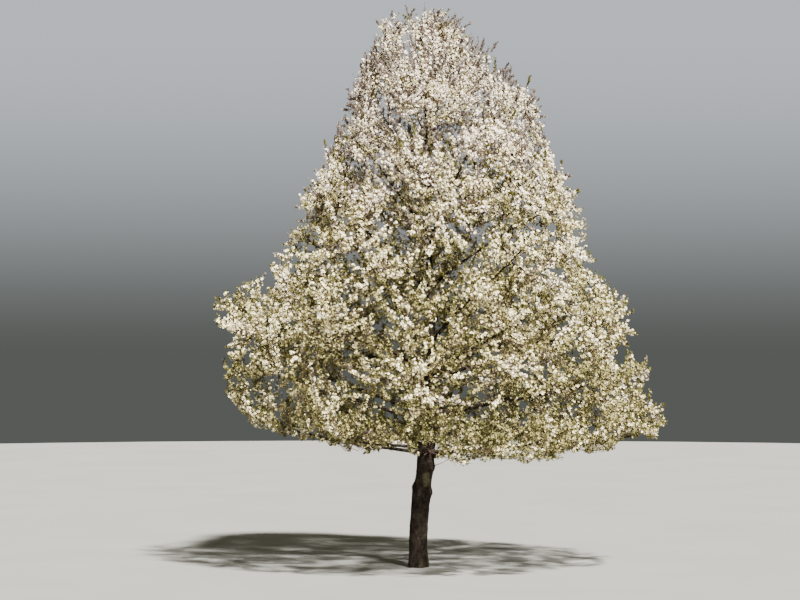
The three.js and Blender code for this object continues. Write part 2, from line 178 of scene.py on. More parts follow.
@dataclass(frozen=True)
class Habit:
    """The named sizes from which the solids grow, in millimetres."""

    trunk_top: float = 9900
    lean: Triple = (250, 400, 3000)
    drift: Triple = (120, 4000, 11000)
    sway: Pair = (40, 7000)
    girth: tuple[Pair, ...] = (
        (0, 200), (330, 183), (1080, 176), (2050, 166), (2500, 136),
        (4000, 94), (6000, 64), (8000, 40), (9900, 17),
    )
    root_lobes: int = 5
    root_lobe_depth: float = 26
    root_flare_height: float = 420
    outline: tuple[Triple, ...] = (
        (2260, 1900, 2900), (2480, 2150, 3950), (2700, 2500, 4550), (2950, 3600, 4750),
        (3300, 3950, 4500), (3950, 4100, 4400), (4500, 4050, 4050), (5150, 4450, 4000),
        (5700, 3400, 3500), (6500, 2800, 3150), (7300, 2500, 3050), (8400, 2000, 2450),
        (9150, 1700, 2300), (9800, 1350, 1600), (10400, 1150, 1150), (10850, 850, 700),
        (11060, 100, 100),
    )
    whorls: tuple[Whorl, ...] = (
        Whorl(2290, 2860, 6, 0, 38, 8, 0.26, True),
        Whorl(2900, 4000, 6, 30, 46, 18, 0.26, True),
        Whorl(3650, 4960, 6, 0, 44, 26, 0.12, False),
        Whorl(4500, 6350, 5, 20, 38, 34, 0.12, False),
        Whorl(5450, 7450, 5, 56, 32, 40, 0.12, False),
        Whorl(6450, 8500, 4, 30, 26, 47, 0.12, False),
        Whorl(7450, 9400, 4, 0, 21, 54, 0.12, False),
        Whorl(8550, 10480, 3, 60, 16, 62, 0.12, False),
    )
    shells: tuple[Shell, ...] = (Shell(124, 1, 2260, 11060, 0.35), Shell(32, 0.6, 2700, 9600, 1))
    azimuth_jitter: float = 6
    height_jitter: float = 110
    left_lift: float = 260
    tip_upturn: float = 0.14
    arch_start: float = 0.36
    arch_end: float = 0.28
    limb_wobble: float = 0.03
    limb_taper: float = 0.75
    leader_girth: float = 17
    shoot_setback: float = 0.75
    shoot_sag: float = 0.16
    shortest_shoot: float = 330
    longest_shoot: float = 2300
    shoot_radius: float = 9
    shoot_radius_per_length: float = 0.006
    shoot_taper: float = 0.3
    root_clearance: float = 0.02
    plume_length: float = 880
    plume_half_width: float = 220
    plume_jitter: float = 0.22
    plume_waist: float = 0.45
    longest_share: float = 0.8
    least_width: float = 0.4
    side_plumes: tuple[Pair, ...] = ((0.66, 0), (0.38, 800))
    stem_plumes: tuple[float, ...] = (0.5, 0.66, 0.82)
    side_plume_length: float = 780
    side_plume_sunk: float = 6
    side_plume_angle: float = 58
    side_plume_lift: float = 0.25
    side_plume_spread: float = 0.4
    smaller: tuple[float, ...] = (1, 0.7, 0.45)
    path_points: int = 11

    def axis(self, height: Array | float) -> Array:
        """Give the point or points of the trunk's axis at a height.

        Args:
            height: The height or heights above the ground.

        Returns:
            A point, or a row for each height.
        """
        height = np.asarray(height, float)
        lean = self.lean[0] * smoothstep(self.lean[1], self.lean[2], height)
        drift = self.drift[0] * smoothstep(self.drift[1], self.drift[2], height)
        sway = self.sway[0] * np.sin(2 * np.pi * height / self.sway[1])
        return np.stack([lean - drift, sway, height], axis=-1)

    def trunk_radius(self, height: Array | float) -> Array:
        """Give the trunk's radius at a height."""
        return np.interp(height, *np.array(self.girth).T)

    def reach(self, height: float, azimuth: float) -> float:
        """Give how far the crown reaches from the axis at a height and azimuth.

        Args:
            height: The height above the ground.
            azimuth: The way out from the axis, in radians.

        Returns:
            The distance from the axis to the outline.
        """
        table = np.array(self.outline).T
        to_right = (1 + math.cos(azimuth)) / 2
        left, right = np.interp(height, table[0], table[1]), np.interp(height, table[0], table[2])
        return float(mix(left, right, to_right))

    def inside(self, point: Array) -> bool:
        """Tell whether a point lies inside the crown's outline.

        Args:
            point: The point.

        Returns:
            True if it lies inside.
        """
        out = point - self.axis(point[2])
        low, high = self.outline[0][0], self.outline[-1][0]
        within = math.hypot(out[0], out[1]) < self.reach(point[2], math.atan2(out[1], out[0]))
        return low < point[2] < high and within

    def around(self, height: float, azimuth: float, reach: float) -> Array:
        """Give the point at a height and azimuth, so far from the axis."""
        return self.axis(height) + heading(azimuth) * reach


# Paths


class Path:
    """A curve with a point and a direction at each place from 0 to 1."""

    def points(self, t: Array) -> Array:
        """Give the points at places along the curve."""
        raise NotImplementedError

    def point(self, t: float) -> Array:
        """Give the point at one place."""
        return self.points(np.array([t]))[0]

    def tangents(self, t: Array) -> Array:
        """Give the directions at places along the curve."""
        return unit(self.points(np.minimum(t + 1e-4, 1)) - self.points(np.maximum(t - 1e-4, 0)))

    def length(self) -> float:
        """Give the curve's length."""
        return float(np.linalg.norm(np.diff(self.points(np.linspace(0, 1, 201)), axis=0), axis=1).sum())

    def sections(self, t: Array) -> tuple[Array, Array, Array]:
        """Give the directions along, to the side and up that do not turn about the curve.

        Args:
            t: Places from 0 to 1.

        Returns:
            Three arrays with a row for each place.
        """
        along = self.tangents(t)
        chord = unit(self.point(1) - self.point(0))
        reference = np.array([0.0, 1.0, 0.0]) if abs(chord[2]) > 0.9 else UP
        side = np.cross(chord, reference)
        side = unit(side - along * (along @ side)[:, None])
        return along, side, np.cross(side, along)


@dataclass
class BezierPath(Path):
    """A Bezier curve of any degree, with a sideways wave."""

    controls: Array
    wave: Array = field(default_factory=lambda: np.zeros(3))

    def points(self, t: Array) -> Array:
        """Give the points at places along the curve.

        Args:
            t: Places from 0 to 1.

        Returns:
            A row for each place.
        """
        degree = len(self.controls) - 1
        total = np.sin(2 * np.pi * t)[:, None] * self.wave
        for i, control in enumerate(self.controls):
            weight = math.comb(degree, i) * t**i * (1 - t) ** (degree - i)
            total = total + weight[:, None] * control
        return total


@dataclass
class AxisPath(Path):
    """A stretch of the trunk's axis, with level sections."""

    habit: Habit
    low: float
    high: float

    def points(self, t: Array) -> Array:
        """Give the points at places along the stretch."""
        return self.habit.axis(mix(self.low, self.high, t))

    def tangents(self, t: Array) -> Array:
        """Give straight up at every place."""
        return np.tile(UP, (len(t), 1))


# What grows


@dataclass
class Limb:
    """A limb of the crown, from the trunk's axis to its tip on the outline."""

    index: int
    path: Path
    girth: float
    bare: float
    bough: bool
    length: float
    line: Array


@dataclass
class Shoot:
    """A shoot that leaves a limb's stem and ends on a shell of the crown."""

    index: int
    limb: int
    path: Path
    length: float
    radius: float


@dataclass
class Spray:
    """The blossoming part of a curve, with the space that the solids give it."""

    path: Path
    start: float
    length: float
    half_width: float
    seed: int
    low: bool = False  # whether it may flower below the crown's lower edge
    spire: bool = False  # whether it stands out at the top of the crown and ends in leaves


@dataclass
class Growth:
    """Grows the limbs, shoots and sprays by the rule of the solids."""

    habit: Habit
    limbs: list[Limb] = field(default_factory=list)
    shoots: list[Shoot] = field(default_factory=list)
    sprays: list[Spray] = field(default_factory=list)

    def grow(self) -> "Growth":
        """Grow everything in the order of the rule.

        Returns:
            The same growth, now with its limbs, shoots and sprays.
        """
        self.grow_limbs()
        self.grow_shoots()
        self.grow_sprays()
        return self

    def add_limb(self, path: Path, girth: float, bare: float, bough: bool) -> None:
        """Add a limb with its length and the line by which it claims its space."""
        line = path.points(np.linspace(0, 1, self.habit.path_points))
        self.limbs.append(Limb(len(self.limbs), path, girth, bare, bough, path.length(), line))

    def grow_limbs(self) -> None:
        """Grow the whorls of limbs, and the leader last."""
        h = self.habit
        for whorl in h.whorls:
            for k in range(whorl.count):
                i = len(self.limbs)
                turn = whorl.turn + 360 * k / whorl.count + h.azimuth_jitter * swing(i, 1)
                azimuth = math.radians(turn)
                root = h.axis(whorl.root + h.height_jitter * swing(i, 2))
                lift = h.left_lift * (1 - math.cos(azimuth)) / 2
                height = whorl.tip + lift + h.height_jitter * swing(i, 3)
                tip = h.around(height, azimuth, h.reach(height, azimuth))
                self.add_limb(
                    self.limb_path(root, tip, whorl.rise, swing(i, 4)), whorl.girth, whorl.bare, whorl.bough
                )
        self.add_limb(AxisPath(h, h.trunk_top, h.outline[-1][0]), h.leader_girth, 0, False)

    def limb_path(self, root: Array, tip: Array, rise: float, wobble: float) -> BezierPath:
        """Shape a limb that leaves at a slope, arches out and turns up at its tip.

        Args:
            root: Where it leaves the axis.
            tip: Where it ends.
            rise: Its first slope in degrees.
            wobble: How it sways sideways, from -1 to 1.

        Returns:
            The limb's path.
        """
        h = self.habit
        out = (tip - root) * np.array([1, 1, 0])
        reach, length = np.linalg.norm(out), np.linalg.norm(tip - root)
        out = out / reach
        first = root + out * reach * h.arch_start + UP * reach * h.arch_start * math.tan(math.radians(rise))
        second = tip - out * reach * h.arch_end - UP * length * h.tip_upturn
        wave = np.array([-out[1], out[0], 0]) * length * h.limb_wobble * wobble
        return BezierPath(np.array([root, first, second, tip]), wave)

    def nearest(self, point: Array, limb: Limb) -> Pair:
        """Give how far a limb is from a point, and at which place along it.

        Args:
            point: The point.
            limb: The limb.

        Returns:
            The distance and the place from 0 to 1.
        """
        a, b = limb.line[:-1], limb.line[1:]
        step = b - a
        share = np.clip(((point - a) * step).sum(1) / (step * step).sum(1), 0, 1)
        distance = np.linalg.norm(a + step * share[:, None] - point, axis=1)
        i = int(distance.argmin())
        return float(distance[i]), (i + float(share[i])) / len(a)

    def shell_points(self, shell: Shell) -> list[Array]:
        """Spread points evenly over a shell, from its base up, a golden turn apart.

        Args:
            shell: The shell.

        Returns:
            The points, from the shell's base up.
        """
        h, steps = self.habit, 80
        table = np.array(h.outline).T
        rows = [(shell.low, shell.base)] + [
            (mix(shell.low, shell.high, i / steps), 1.0) for i in range(steps + 1)
        ]
        heights, shares = np.array(rows).T
        girth = shares * (np.interp(heights, table[0], table[1]) + np.interp(heights, table[0], table[2])) / 2
        slant = np.hypot(np.diff(heights), np.diff(girth))
        areas = np.concatenate([[0], np.cumsum(slant * (girth[1:] + girth[:-1]))])
        found = []
        for k in range(shell.count):
            area = (k + 0.5) / shell.count * areas[-1]
            height, share = np.interp(area, areas, heights), np.interp(area, areas, shares)
            azimuth = math.radians(GOLDEN_TURN * k + shell.turn)
            found.append(h.around(height, azimuth, h.reach(height, azimuth) * shell.depth * share))
        return found

    def grow_shoots(self) -> None:
        """Grow a shoot to each point of the shells from the limb that is nearest to it."""
        h = self.habit
        tips = [tip for shell in h.shells for tip in self.shell_points(shell)]
        for index, tip in enumerate(tips):
            places = [self.nearest(tip, limb) for limb in self.limbs]
            limb = self.limbs[min(range(len(places)), key=lambda i: places[i][0])]
            distance, place = places[limb.index]
            if not h.shortest_shoot <= distance <= h.longest_shoot:
                continue
            setback = h.shoot_setback * distance / limb.length
            root = limb.path.point(max(place - setback, limb.bare + h.root_clearance))
            length = float(np.linalg.norm(tip - root))
            middle = (root + tip) / 2 - UP * h.shoot_sag * length
            radius = h.shoot_radius + h.shoot_radius_per_length * length
            self.shoots.append(
                Shoot(index, limb.index, BezierPath(np.array([root, middle, tip])), length, radius)
            )

    def half_width(self, length: float, longest: float, *keys: int) -> float:
        """Give the half width of a plume of some length.

        Args:
            length: The plume's length.
            longest: The length of the longest.
            keys: The numbers that make it its own.

        Returns:
            The half width.
        """
        h = self.habit
        return h.plume_half_width * (
            1 + h.plume_jitter * swing(*keys, 7)
        ) * mix(h.least_width, 1, length / longest)

    def side_spray(self, path: Path, place: float, hand: int, longest: float, *keys: int) -> Spray | None:
        """Grow the spray to the side of a curve that fits inside the crown.

        Args:
            path: The curve that bears it.
            place: Where along the curve.
            hand: 1 or -1, its side.
            longest: Its length where there is room.
            keys: The numbers that it is seeded by.

        Returns:
            The spray, or None where there is no room.
        """
        h = self.habit
        along, side, up = (rows[0] for rows in path.sections(np.array([place])))
        angle = math.radians(h.side_plume_angle)
        lean = h.side_plume_spread * swing(*keys, 9)
        out = along * math.cos(angle) + side * hand * math.sin(angle) + up * lean + UP * h.side_plume_lift
        out = unit(out)
        root = path.point(place) - out * h.side_plume_sunk
        for size in h.smaller:
            tip = root + out * longest * size
            if h.inside(tip):
                width = self.half_width(longest * size, h.side_plume_length, *keys)
                seed = keys[0] * 64 + keys[1] * 8 + keys[2]
                return Spray(BezierPath(np.array([root, tip])), 0.0, longest * size, width, seed)
        return None

    def grow_sprays(self) -> None:
        """Grow the sprays that end limbs and shoots, and those to their sides."""
        h = self.habit
        for limb in self.limbs:
            width = self.half_width(h.plume_length, h.plume_length, limb.index)
            start = 1 - h.plume_length / limb.length
            self.sprays.append(Spray(limb.path, start, h.plume_length, width, limb.index * 64 + 1))
            for n, place in enumerate(h.stem_plumes):
                hand = 1 if (limb.index + n) % 2 else -1
                self.sprays.append(
                    self.side_spray(limb.path, place, hand, h.side_plume_length, limb.index, n, 3)
                )
        for shoot in self.shoots:
            plume = min(h.plume_length, h.longest_share * shoot.length)
            width = self.half_width(plume, h.plume_length, shoot.index, 1)
            self.sprays.append(
                Spray(shoot.path, 1 - plume / shoot.length, plume, width, shoot.index * 64 + 2)
            )
            longest = min(h.side_plume_length, h.longest_share * shoot.length)
            wanted = [place for place, least in h.side_plumes if shoot.length > least]
            for n, place in enumerate(wanted):
                hand = 1 if (shoot.index + n) % 2 else -1
                self.sprays.append(self.side_spray(shoot.path, place, hand, longest, shoot.index, n, 4))
        self.sprays = [spray for spray in self.sprays if spray is not None]


# Meshes


def add_object(name: str, data: bpy.types.ID) -> Piece:
    """Make an object and link it to the scene.

    Args:
        name: Its name.
        data: Its mesh, light or camera.

    Returns:
        The object.
    """
    made = bpy.data.objects.new(name, data)
    bpy.context.scene.collection.objects.link(made)
    return made


@dataclass
class Skin:
    """Vertices and faces of one piece while it is being made, in millimetres."""

    vertices: list[Array] = field(default_factory=list)
    faces: list[list[int]] = field(default_factory=list)
    count: int = 0

    def add_tube(self, centres: Array, side: Array, up: Array, radii: Array) -> None:
        """Add a closed tube.

        Args:
            centres: The rings' centres.
            side: A direction across each ring.
            up: The other direction across each ring.
            radii: A row of radii for each ring, one for each of its corners.
        """
        rings, corners = radii.shape
        angle = np.linspace(0, 2 * np.pi, corners, endpoint=False)
        out = side[:, None] * np.cos(angle)[:, None] + up[:, None] * np.sin(angle)[:, None]
        self.vertices.append((centres[:, None] + out * radii[..., None]).reshape(-1, 3))
        first = self.count
        for ring in range(rings - 1):
            low = first + ring * corners
            for i in range(corners):
                j = (i + 1) % corners
                self.faces.append([low + i, low + j, low + corners + j, low + corners + i])
        last = first + (rings - 1) * corners
        self.faces.append([first + i for i in reversed(range(corners))])
        self.faces.append([last + i for i in range(corners)])
        self.count += rings * corners

    def to_object(self, name: str, cover: Material) -> Piece:
        """Make the object, in metres and shaded smooth.

        Args:
            name: The piece's name.
            cover: Its material.

        Returns:
            The object, linked to the scene.
        """
        mesh = bpy.data.meshes.new(name)
        mesh.from_pydata(np.concatenate(self.vertices) * METRE, [], self.faces)
        mesh.polygons.foreach_set("use_smooth", [True] * len(mesh.polygons))
        mesh.update()
        mesh.materials.append(cover)
        return add_object(name, mesh)


def triangle_count(piece: Piece) -> int:
    """Count the triangles of a piece."""
    return sum(len(polygon.vertices) - 2 for polygon in piece.data.polygons)


def finish_piece(piece: Piece, stands_for: list[str]) -> None:
    """Tell the frame what a finished piece is.

    Args:
        piece: The piece.
        stands_for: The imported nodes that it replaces.
    """
    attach(piece, "root")
    if stands_for:
        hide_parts(*stands_for)
    LOG.info("%s: %d triangles", piece.name, triangle_count(piece))


def nodes_named(prefix: str) -> list[str]:
    """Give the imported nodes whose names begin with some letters."""
    return sorted(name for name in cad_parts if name.startswith(prefix))


# Finishes


class Sockets(Enum):
    """The kinds of socket that the node groups have."""

    COLOR = "NodeSocketColor"
    VECTOR = "NodeSocketVector"
    FLOAT = "NodeSocketFloat"
    INT = "NodeSocketInt"
    GEOMETRY = "NodeSocketGeometry"
    MATERIAL = "NodeSocketMaterial"
    COLLECTION = "NodeSocketCollection"


class Graph:
    """A node tree with short calls for adding nodes and joining them."""

    def __init__(self, tree: Tree) -> None:
        """Take the tree over."""
        self.tree = tree

    def node(self, kind: str, values: dict | None = None, **settings: object) -> bpy.types.Node:
        """Add a node.

        Args:
            kind: The node's type.
            values: Socket numbers or names, each with a value or an output to join.
            settings: The node's own properties.

        Returns:
            The node.
        """
        made = self.tree.nodes.new(kind)
        for key, value in settings.items():
            setattr(made, key, value)
        for socket, value in (values or {}).items():
            if isinstance(value, Output):
                self.tree.links.new(value, made.inputs[socket])
            else:
                made.inputs[socket].default_value = value
        return made

    def sockets(self, way: str, kinds: dict[str, Sockets], defaults: dict[str, object]) -> None:
        """Add sockets to the tree's interface.

        Args:
            way: INPUT or OUTPUT.
            kinds: The kind of each, by its name.
            defaults: The default values of those that have one, by name.
        """
        for name, kind in kinds.items():
            made = self.tree.interface.new_socket(name, in_out=way, socket_type=kind.value)
            if name in defaults:
                made.default_value = defaults[name]

    def group(self, tree: Tree, values: dict) -> bpy.types.Node:
        """Add a shared shader group with a value for each of its sockets.

        Args:
            tree: The group's tree.
            values: A value for each socket's name.

        Returns:
            The group's node.
        """
        made = self.node("ShaderNodeGroup", node_tree=tree)
        for socket, value in values.items():
            made.inputs[socket].default_value = value
        return made

    def cover(self, values: dict) -> None:
        """End a material in a plain surface with some values."""
        surface = self.node("ShaderNodeBsdfPrincipled", values)
        self.node("ShaderNodeOutputMaterial", {"Surface": surface.outputs[0]})

    def attribute(self, name: str, kind: str) -> Output:
        """Read a named attribute of some kind."""
        return self.node("GeometryNodeInputNamedAttribute", {"Name": name}, data_type=kind).outputs[0]

    def random(self, kind: str, values: dict) -> bpy.types.Node:
        """Add random values of some kind."""
        return self.node("FunctionNodeRandomValue", values, data_type=kind)

    def put_out(self, geometry: Output, material: Output) -> None:
        """End a geometry tree: make the instances real and give all the material.

        Args:
            geometry: What to put out.
            material: Its material.
        """
        whole = self.node("GeometryNodeRealizeInstances", {"Geometry": geometry}).outputs[0]
        dressed = self.node("GeometryNodeSetMaterial", {"Geometry": whole, "Material": material})
        self.node("NodeGroupOutput", {0: dressed.outputs[0]})

    def noise(self, where: Output, scale: float, detail: float = 3) -> Output:
        """Add a noise of some scale and give its value."""
        return self.node("ShaderNodeTexNoise", {"Vector": where, "Scale": scale, "Detail": detail}).outputs[0]

    def ramp(self, value: object, *ends: object, **settings: object) -> Output:
        """Map a value between two ends to 0..1, or to the two that follow, clamped."""
        return self.node("ShaderNodeMapRange", dict(enumerate((value, *ends))), **settings).outputs[0]

    def blend(self, share: object, a: object, b: object) -> Output:
        """Mix two colours."""
        return self.node("ShaderNodeMix", {0: share, 6: a, 7: b}, data_type="RGBA").outputs[2]

    def math(self, operation: str, a: object, b: object) -> Output:
        """Add a math node."""
        return self.node("ShaderNodeMath", {0: a, 1: b}, operation=operation).outputs[0]

    def plus(self, a: object, b: object) -> Output:
        """Add two values."""
        return self.math("ADD", a, b)

    def times(self, first: object, *others: object) -> Output:
        """Multiply values, the first by each of the others in turn.

        Args:
            first: The first value.
            others: The others.

        Returns:
            The product.
        """
        for other in others:
            first = self.math("MULTIPLY", first, other)
        return first

    def vector(self, operation: str, *values: object) -> bpy.types.Node:
        """Add a vector math node."""
        return self.node("ShaderNodeVectorMath", dict(enumerate(values)), operation=operation)


def rgba(color: Color) -> tuple[float, float, float, float]:
    """Give a colour with full alpha."""
    return (*color, 1.0)


def new_material(name: str) -> tuple[Material, Graph]:
    """Make an empty node material.

    Args:
        name: Its name.

    Returns:
        The material and its graph.
    """
    material = bpy.data.materials.new(name)
    material.use_nodes = True
    material.node_tree.nodes.clear()
    return material, Graph(material.node_tree)


SCAR_SIZE = (0.1, 0.14, 0.18)  # in metres


def bark_group() -> Tree:
    """Build the bark: dark plates, pale patches and the pale bands that ring a cherry's bark.

    Returns:
        The shader node group, which puts out Color, Roughness and Height.
    """
    graph = Graph(bpy.data.node_groups.new("cherry_bark", "ShaderNodeTree"))
    graph.sockets("INPUT", {
        "Dark": Sockets.COLOR, "Brown": Sockets.COLOR, "Pale": Sockets.COLOR, "Moss": Sockets.COLOR,
        "Bands": Sockets.FLOAT, "Patches": Sockets.FLOAT, "Scar": Sockets.FLOAT,
        "Scar Place": Sockets.VECTOR,
    }, {"Bands": 0.5, "Patches": 0.5, "Scar": 0.0})
    graph.sockets("OUTPUT", {"Color": Sockets.COLOR, "Roughness": Sockets.FLOAT, "Height": Sockets.FLOAT}, {})
    given = graph.node("NodeGroupInput").outputs
    where = graph.node("ShaderNodeTexCoord").outputs["Object"]
    upright = graph.node("ShaderNodeMapping", {"Vector": where, "Scale": (1, 1, 0.35)}).outputs[0]
    level = graph.node("ShaderNodeMapping", {"Vector": where, "Scale": (1, 1, 9)}).outputs[0]
    plates = graph.noise(upright, 26, 5)
    grain = graph.noise(upright, 110, 4)
    bands = graph.ramp(graph.noise(level, 7, 2), 0.56, 0.7)
    patches = graph.ramp(graph.noise(where, 3.4, 4), 0.52, 0.66)
    moss = graph.ramp(graph.noise(where, 2.1, 5), 0.6, 0.72)
    color = graph.blend(graph.ramp(plates, 0.36, 0.62), given["Dark"], given["Brown"])
    color = graph.blend(graph.times(bands, given["Bands"]), color, given["Pale"])
    mottled = graph.times(patches, graph.ramp(grain, 0.4, 0.6), given["Patches"])
    color = graph.blend(mottled, color, given["Pale"])
    color = graph.blend(graph.times(moss, 0.45), color, given["Moss"])
    off = graph.vector("SUBTRACT", where, given["Scar Place"]).outputs[0]
    off = graph.vector("DIVIDE", off, SCAR_SIZE).outputs[0]
    away = graph.vector("LENGTH", off).outputs["Value"]
    scar = graph.plus(away, graph.times(graph.noise(where, 14), 0.9))
    scar = graph.ramp(scar, 0.95, 1.45, 1.0, 0.0)
    scar = graph.times(scar, given["Scar"], graph.ramp(grain, 0.3, 0.5))
    color = graph.blend(scar, color, given["Pale"])
    roughness = graph.ramp(grain, 0.0, 1.0, 0.95, 0.72)
    height = graph.plus(graph.times(plates, 0.7), graph.times(grain, 0.3))
    height = graph.plus(height, graph.times(bands, 0.15))
    graph.node("NodeGroupOutput", {"Color": color, "Roughness": roughness, "Height": height})
    return graph.tree


def tissue_group() -> Tree:
    """Build the tint of petals and leaves, which darkens to the heart and varies from one to the next.

    Returns:
        The shader node group, which puts out Color and Roughness.
    """
    graph = Graph(bpy.data.node_groups.new("cherry_tissue", "ShaderNodeTree"))
    graph.sockets("INPUT", {
        "Tint": Sockets.COLOR, "Other Tint": Sockets.COLOR, "Heart": Sockets.COLOR,
        "Heart Size": Sockets.FLOAT,
    }, {"Heart Size": 0.2})
    graph.sockets("OUTPUT", {"Color": Sockets.COLOR, "Roughness": Sockets.FLOAT}, {})
    given = graph.node("NodeGroupInput").outputs
    where = graph.node("ShaderNodeTexCoord").outputs
    from_heart = graph.node("ShaderNodeSeparateXYZ", {0: where["UV"]}).outputs[0]
    tone = graph.noise(where["Object"], 21, 2)
    color = graph.blend(graph.ramp(tone, 0.38, 0.62), given["Tint"], given["Other Tint"])
    color = graph.blend(graph.ramp(from_heart, 0.0, given["Heart Size"], 1.0, 0.0), color, given["Heart"])
    roughness = graph.ramp(tone, 0.0, 1.0, 0.5, 0.7)
    graph.node("NodeGroupOutput", {"Color": color, "Roughness": roughness})
    return graph.tree


@dataclass(frozen=True)
class BarkFinish:
    """Bark of one age, from the trunk's dark plates to the twigs' smooth skin."""

    name: str
    dark: Color
    brown: Color
    pale: Color
    moss: Color
    bands: float
    patches: float
    bump: float
    scar: float = 0.0  # how strongly the pale scar at scar_place shows
    scar_place: Place = (0.17, -0.16, 1.74)

    def material(self, group: Tree) -> Material:
        """Make the material round the shared bark group.

        Args:
            group: The shared bark group.

        Returns:
            The material.
        """
        material, graph = new_material(self.name)
        bark = graph.group(group, {
            "Dark": rgba(self.dark), "Brown": rgba(self.brown), "Pale": rgba(self.pale),
            "Moss": rgba(self.moss), "Bands": self.bands, "Patches": self.patches,
            "Scar": self.scar, "Scar Place": self.scar_place,
        })
        given = bark.outputs
        relief = {"Strength": 0.8, "Distance": self.bump, "Height": given["Height"]}
        graph.cover({
            "Base Color": given["Color"], "Roughness": given["Roughness"],
            "Normal": graph.node("ShaderNodeBump", relief).outputs[0], "Specular IOR Level": 0.12,
        })
        return material


@dataclass(frozen=True)
class TissueFinish:
    """The thin tissue of petals or young leaves, through which some light passes, with painted shade on the
    petals' backs.
    """

    name: str
    tint: Color
    other: Color
    heart: Color
    heart_size: float
    glow: Color
    through: float
    # colour of the back faces: the leaves' own back tint, and painted shade on the petals
    back_tint_and_shade: Color

    def material(self, group: Tree) -> Material:
        """Make the material round the shared tissue group.

        Args:
            group: The shared tissue group.

        Returns:
            The material.
        """
        material, graph = new_material(self.name)
        tissue = graph.group(group, {
            "Tint": rgba(self.tint), "Other Tint": rgba(self.other), "Heart": rgba(self.heart),
            "Heart Size": self.heart_size,
        })
        # back faces take the back colour, which on the petals is painted shade
        behind = graph.node("ShaderNodeNewGeometry").outputs["Backfacing"]
        sides = graph.blend(behind, tissue.outputs["Color"], rgba(self.back_tint_and_shade))
        surface = graph.node("ShaderNodeBsdfPrincipled", {
            "Base Color": sides, "Roughness": tissue.outputs["Roughness"], "Specular IOR Level": 0.2,
        })
        passing = graph.node("ShaderNodeBsdfTranslucent", {"Color": rgba(self.glow)})
        both = graph.node(
            "ShaderNodeMixShader", {0: self.through, 1: surface.outputs[0], 2: passing.outputs[0]}
        )
        graph.node("ShaderNodeOutputMaterial", {"Surface": both.outputs[0]})
        return material


# very dark: the trunk's own dark bark with painted shade of the crown over it
OLD_BARK_WITH_SHADE = BarkFinish(
    "old_bark", (0.0012, 0.0008, 0.0006), (0.0165, 0.0112, 0.0077), (0.15, 0.137, 0.085),
    (0.05, 0.045, 0.018), 0.12, 0.16, 0.014, 0.5,
)
# darkened too: the limbs' own bark with painted shade of the crown
LIMB_BARK_WITH_SHADE = BarkFinish(
    "limb_bark", (0.005, 0.0037, 0.0028), (0.021, 0.015, 0.0115), (0.065, 0.053, 0.043), (0.05, 0.045, 0.024),
    0.45, 0.35, 0.004,
)
TWIG_BARK = BarkFinish(
    "twig_bark", (0.035, 0.022, 0.016), (0.085, 0.052, 0.038), (0.16, 0.125, 0.1), (0.07, 0.055, 0.035), 0.3,
    0.2, 0.001,
)

HEART = (0.42, 0.36, 0.1)


class Bloom(Enum):
    """The tints in which the sprays flower, from the brightest to the dullest; the duller ones are white and
    blush petals with painted shade, in part or in whole.
    """

    WHITE = TissueFinish(
        "petal_white", (0.85, 0.775, 0.55), (0.62, 0.55, 0.34), HEART, 0.3, (0.46, 0.39, 0.14), 0.1,
        (0.24, 0.21, 0.095),
    )
    # a duller white: partly a random ivory tone, partly painted shade
    IVORY = TissueFinish(
        "petal_ivory", (0.66, 0.59, 0.37), (0.36, 0.315, 0.16), HEART, 0.34, (0.34, 0.28, 0.09), 0.1,
        (0.145, 0.125, 0.045),
    )
    # white petals painted dark as shade, dealt mostly to the shaded sprays deep, in pockets and low in the
    # crown
    CREAM = TissueFinish(
        "petal_cream", (0.27, 0.235, 0.11), (0.135, 0.117, 0.045), HEART, 0.38, (0.17, 0.14, 0.035), 0.1,
        (0.052, 0.045, 0.012),
    )
    BLUSH = TissueFinish(
        "petal_blush", (0.88, 0.81, 0.69), (0.66, 0.59, 0.48), (0.42, 0.24, 0.16), 0.34, (0.46, 0.38, 0.28),
        0.12, (0.27, 0.225, 0.17),
    )
    # blush petals painted darker as shade, dealt mostly to the shaded sprays high in the crown
    DUSK = TissueFinish(
        "petal_dusk", (0.6, 0.54, 0.45), (0.4, 0.345, 0.28), (0.26, 0.14, 0.1), 0.38, (0.32, 0.26, 0.19),
        0.12, (0.17, 0.14, 0.105),
    )


class Foliage(Enum):
    """The tints of the young leaves."""

    OLIVE = TissueFinish(
        "leaf_olive", (0.049, 0.051, 0.01), (0.11, 0.102, 0.018), (0.08, 0.066, 0.02), 0.3,
        (0.125, 0.125, 0.015), 0.2, (0.064, 0.062, 0.022)
    )
    BRONZE = TissueFinish(
        "leaf_bronze", (0.1, 0.076, 0.066), (0.17, 0.135, 0.118), (0.1, 0.07, 0.058), 0.3,
        (0.16, 0.115, 0.095), 0.18, (0.115, 0.092, 0.08)
    )


# Geometry node trees


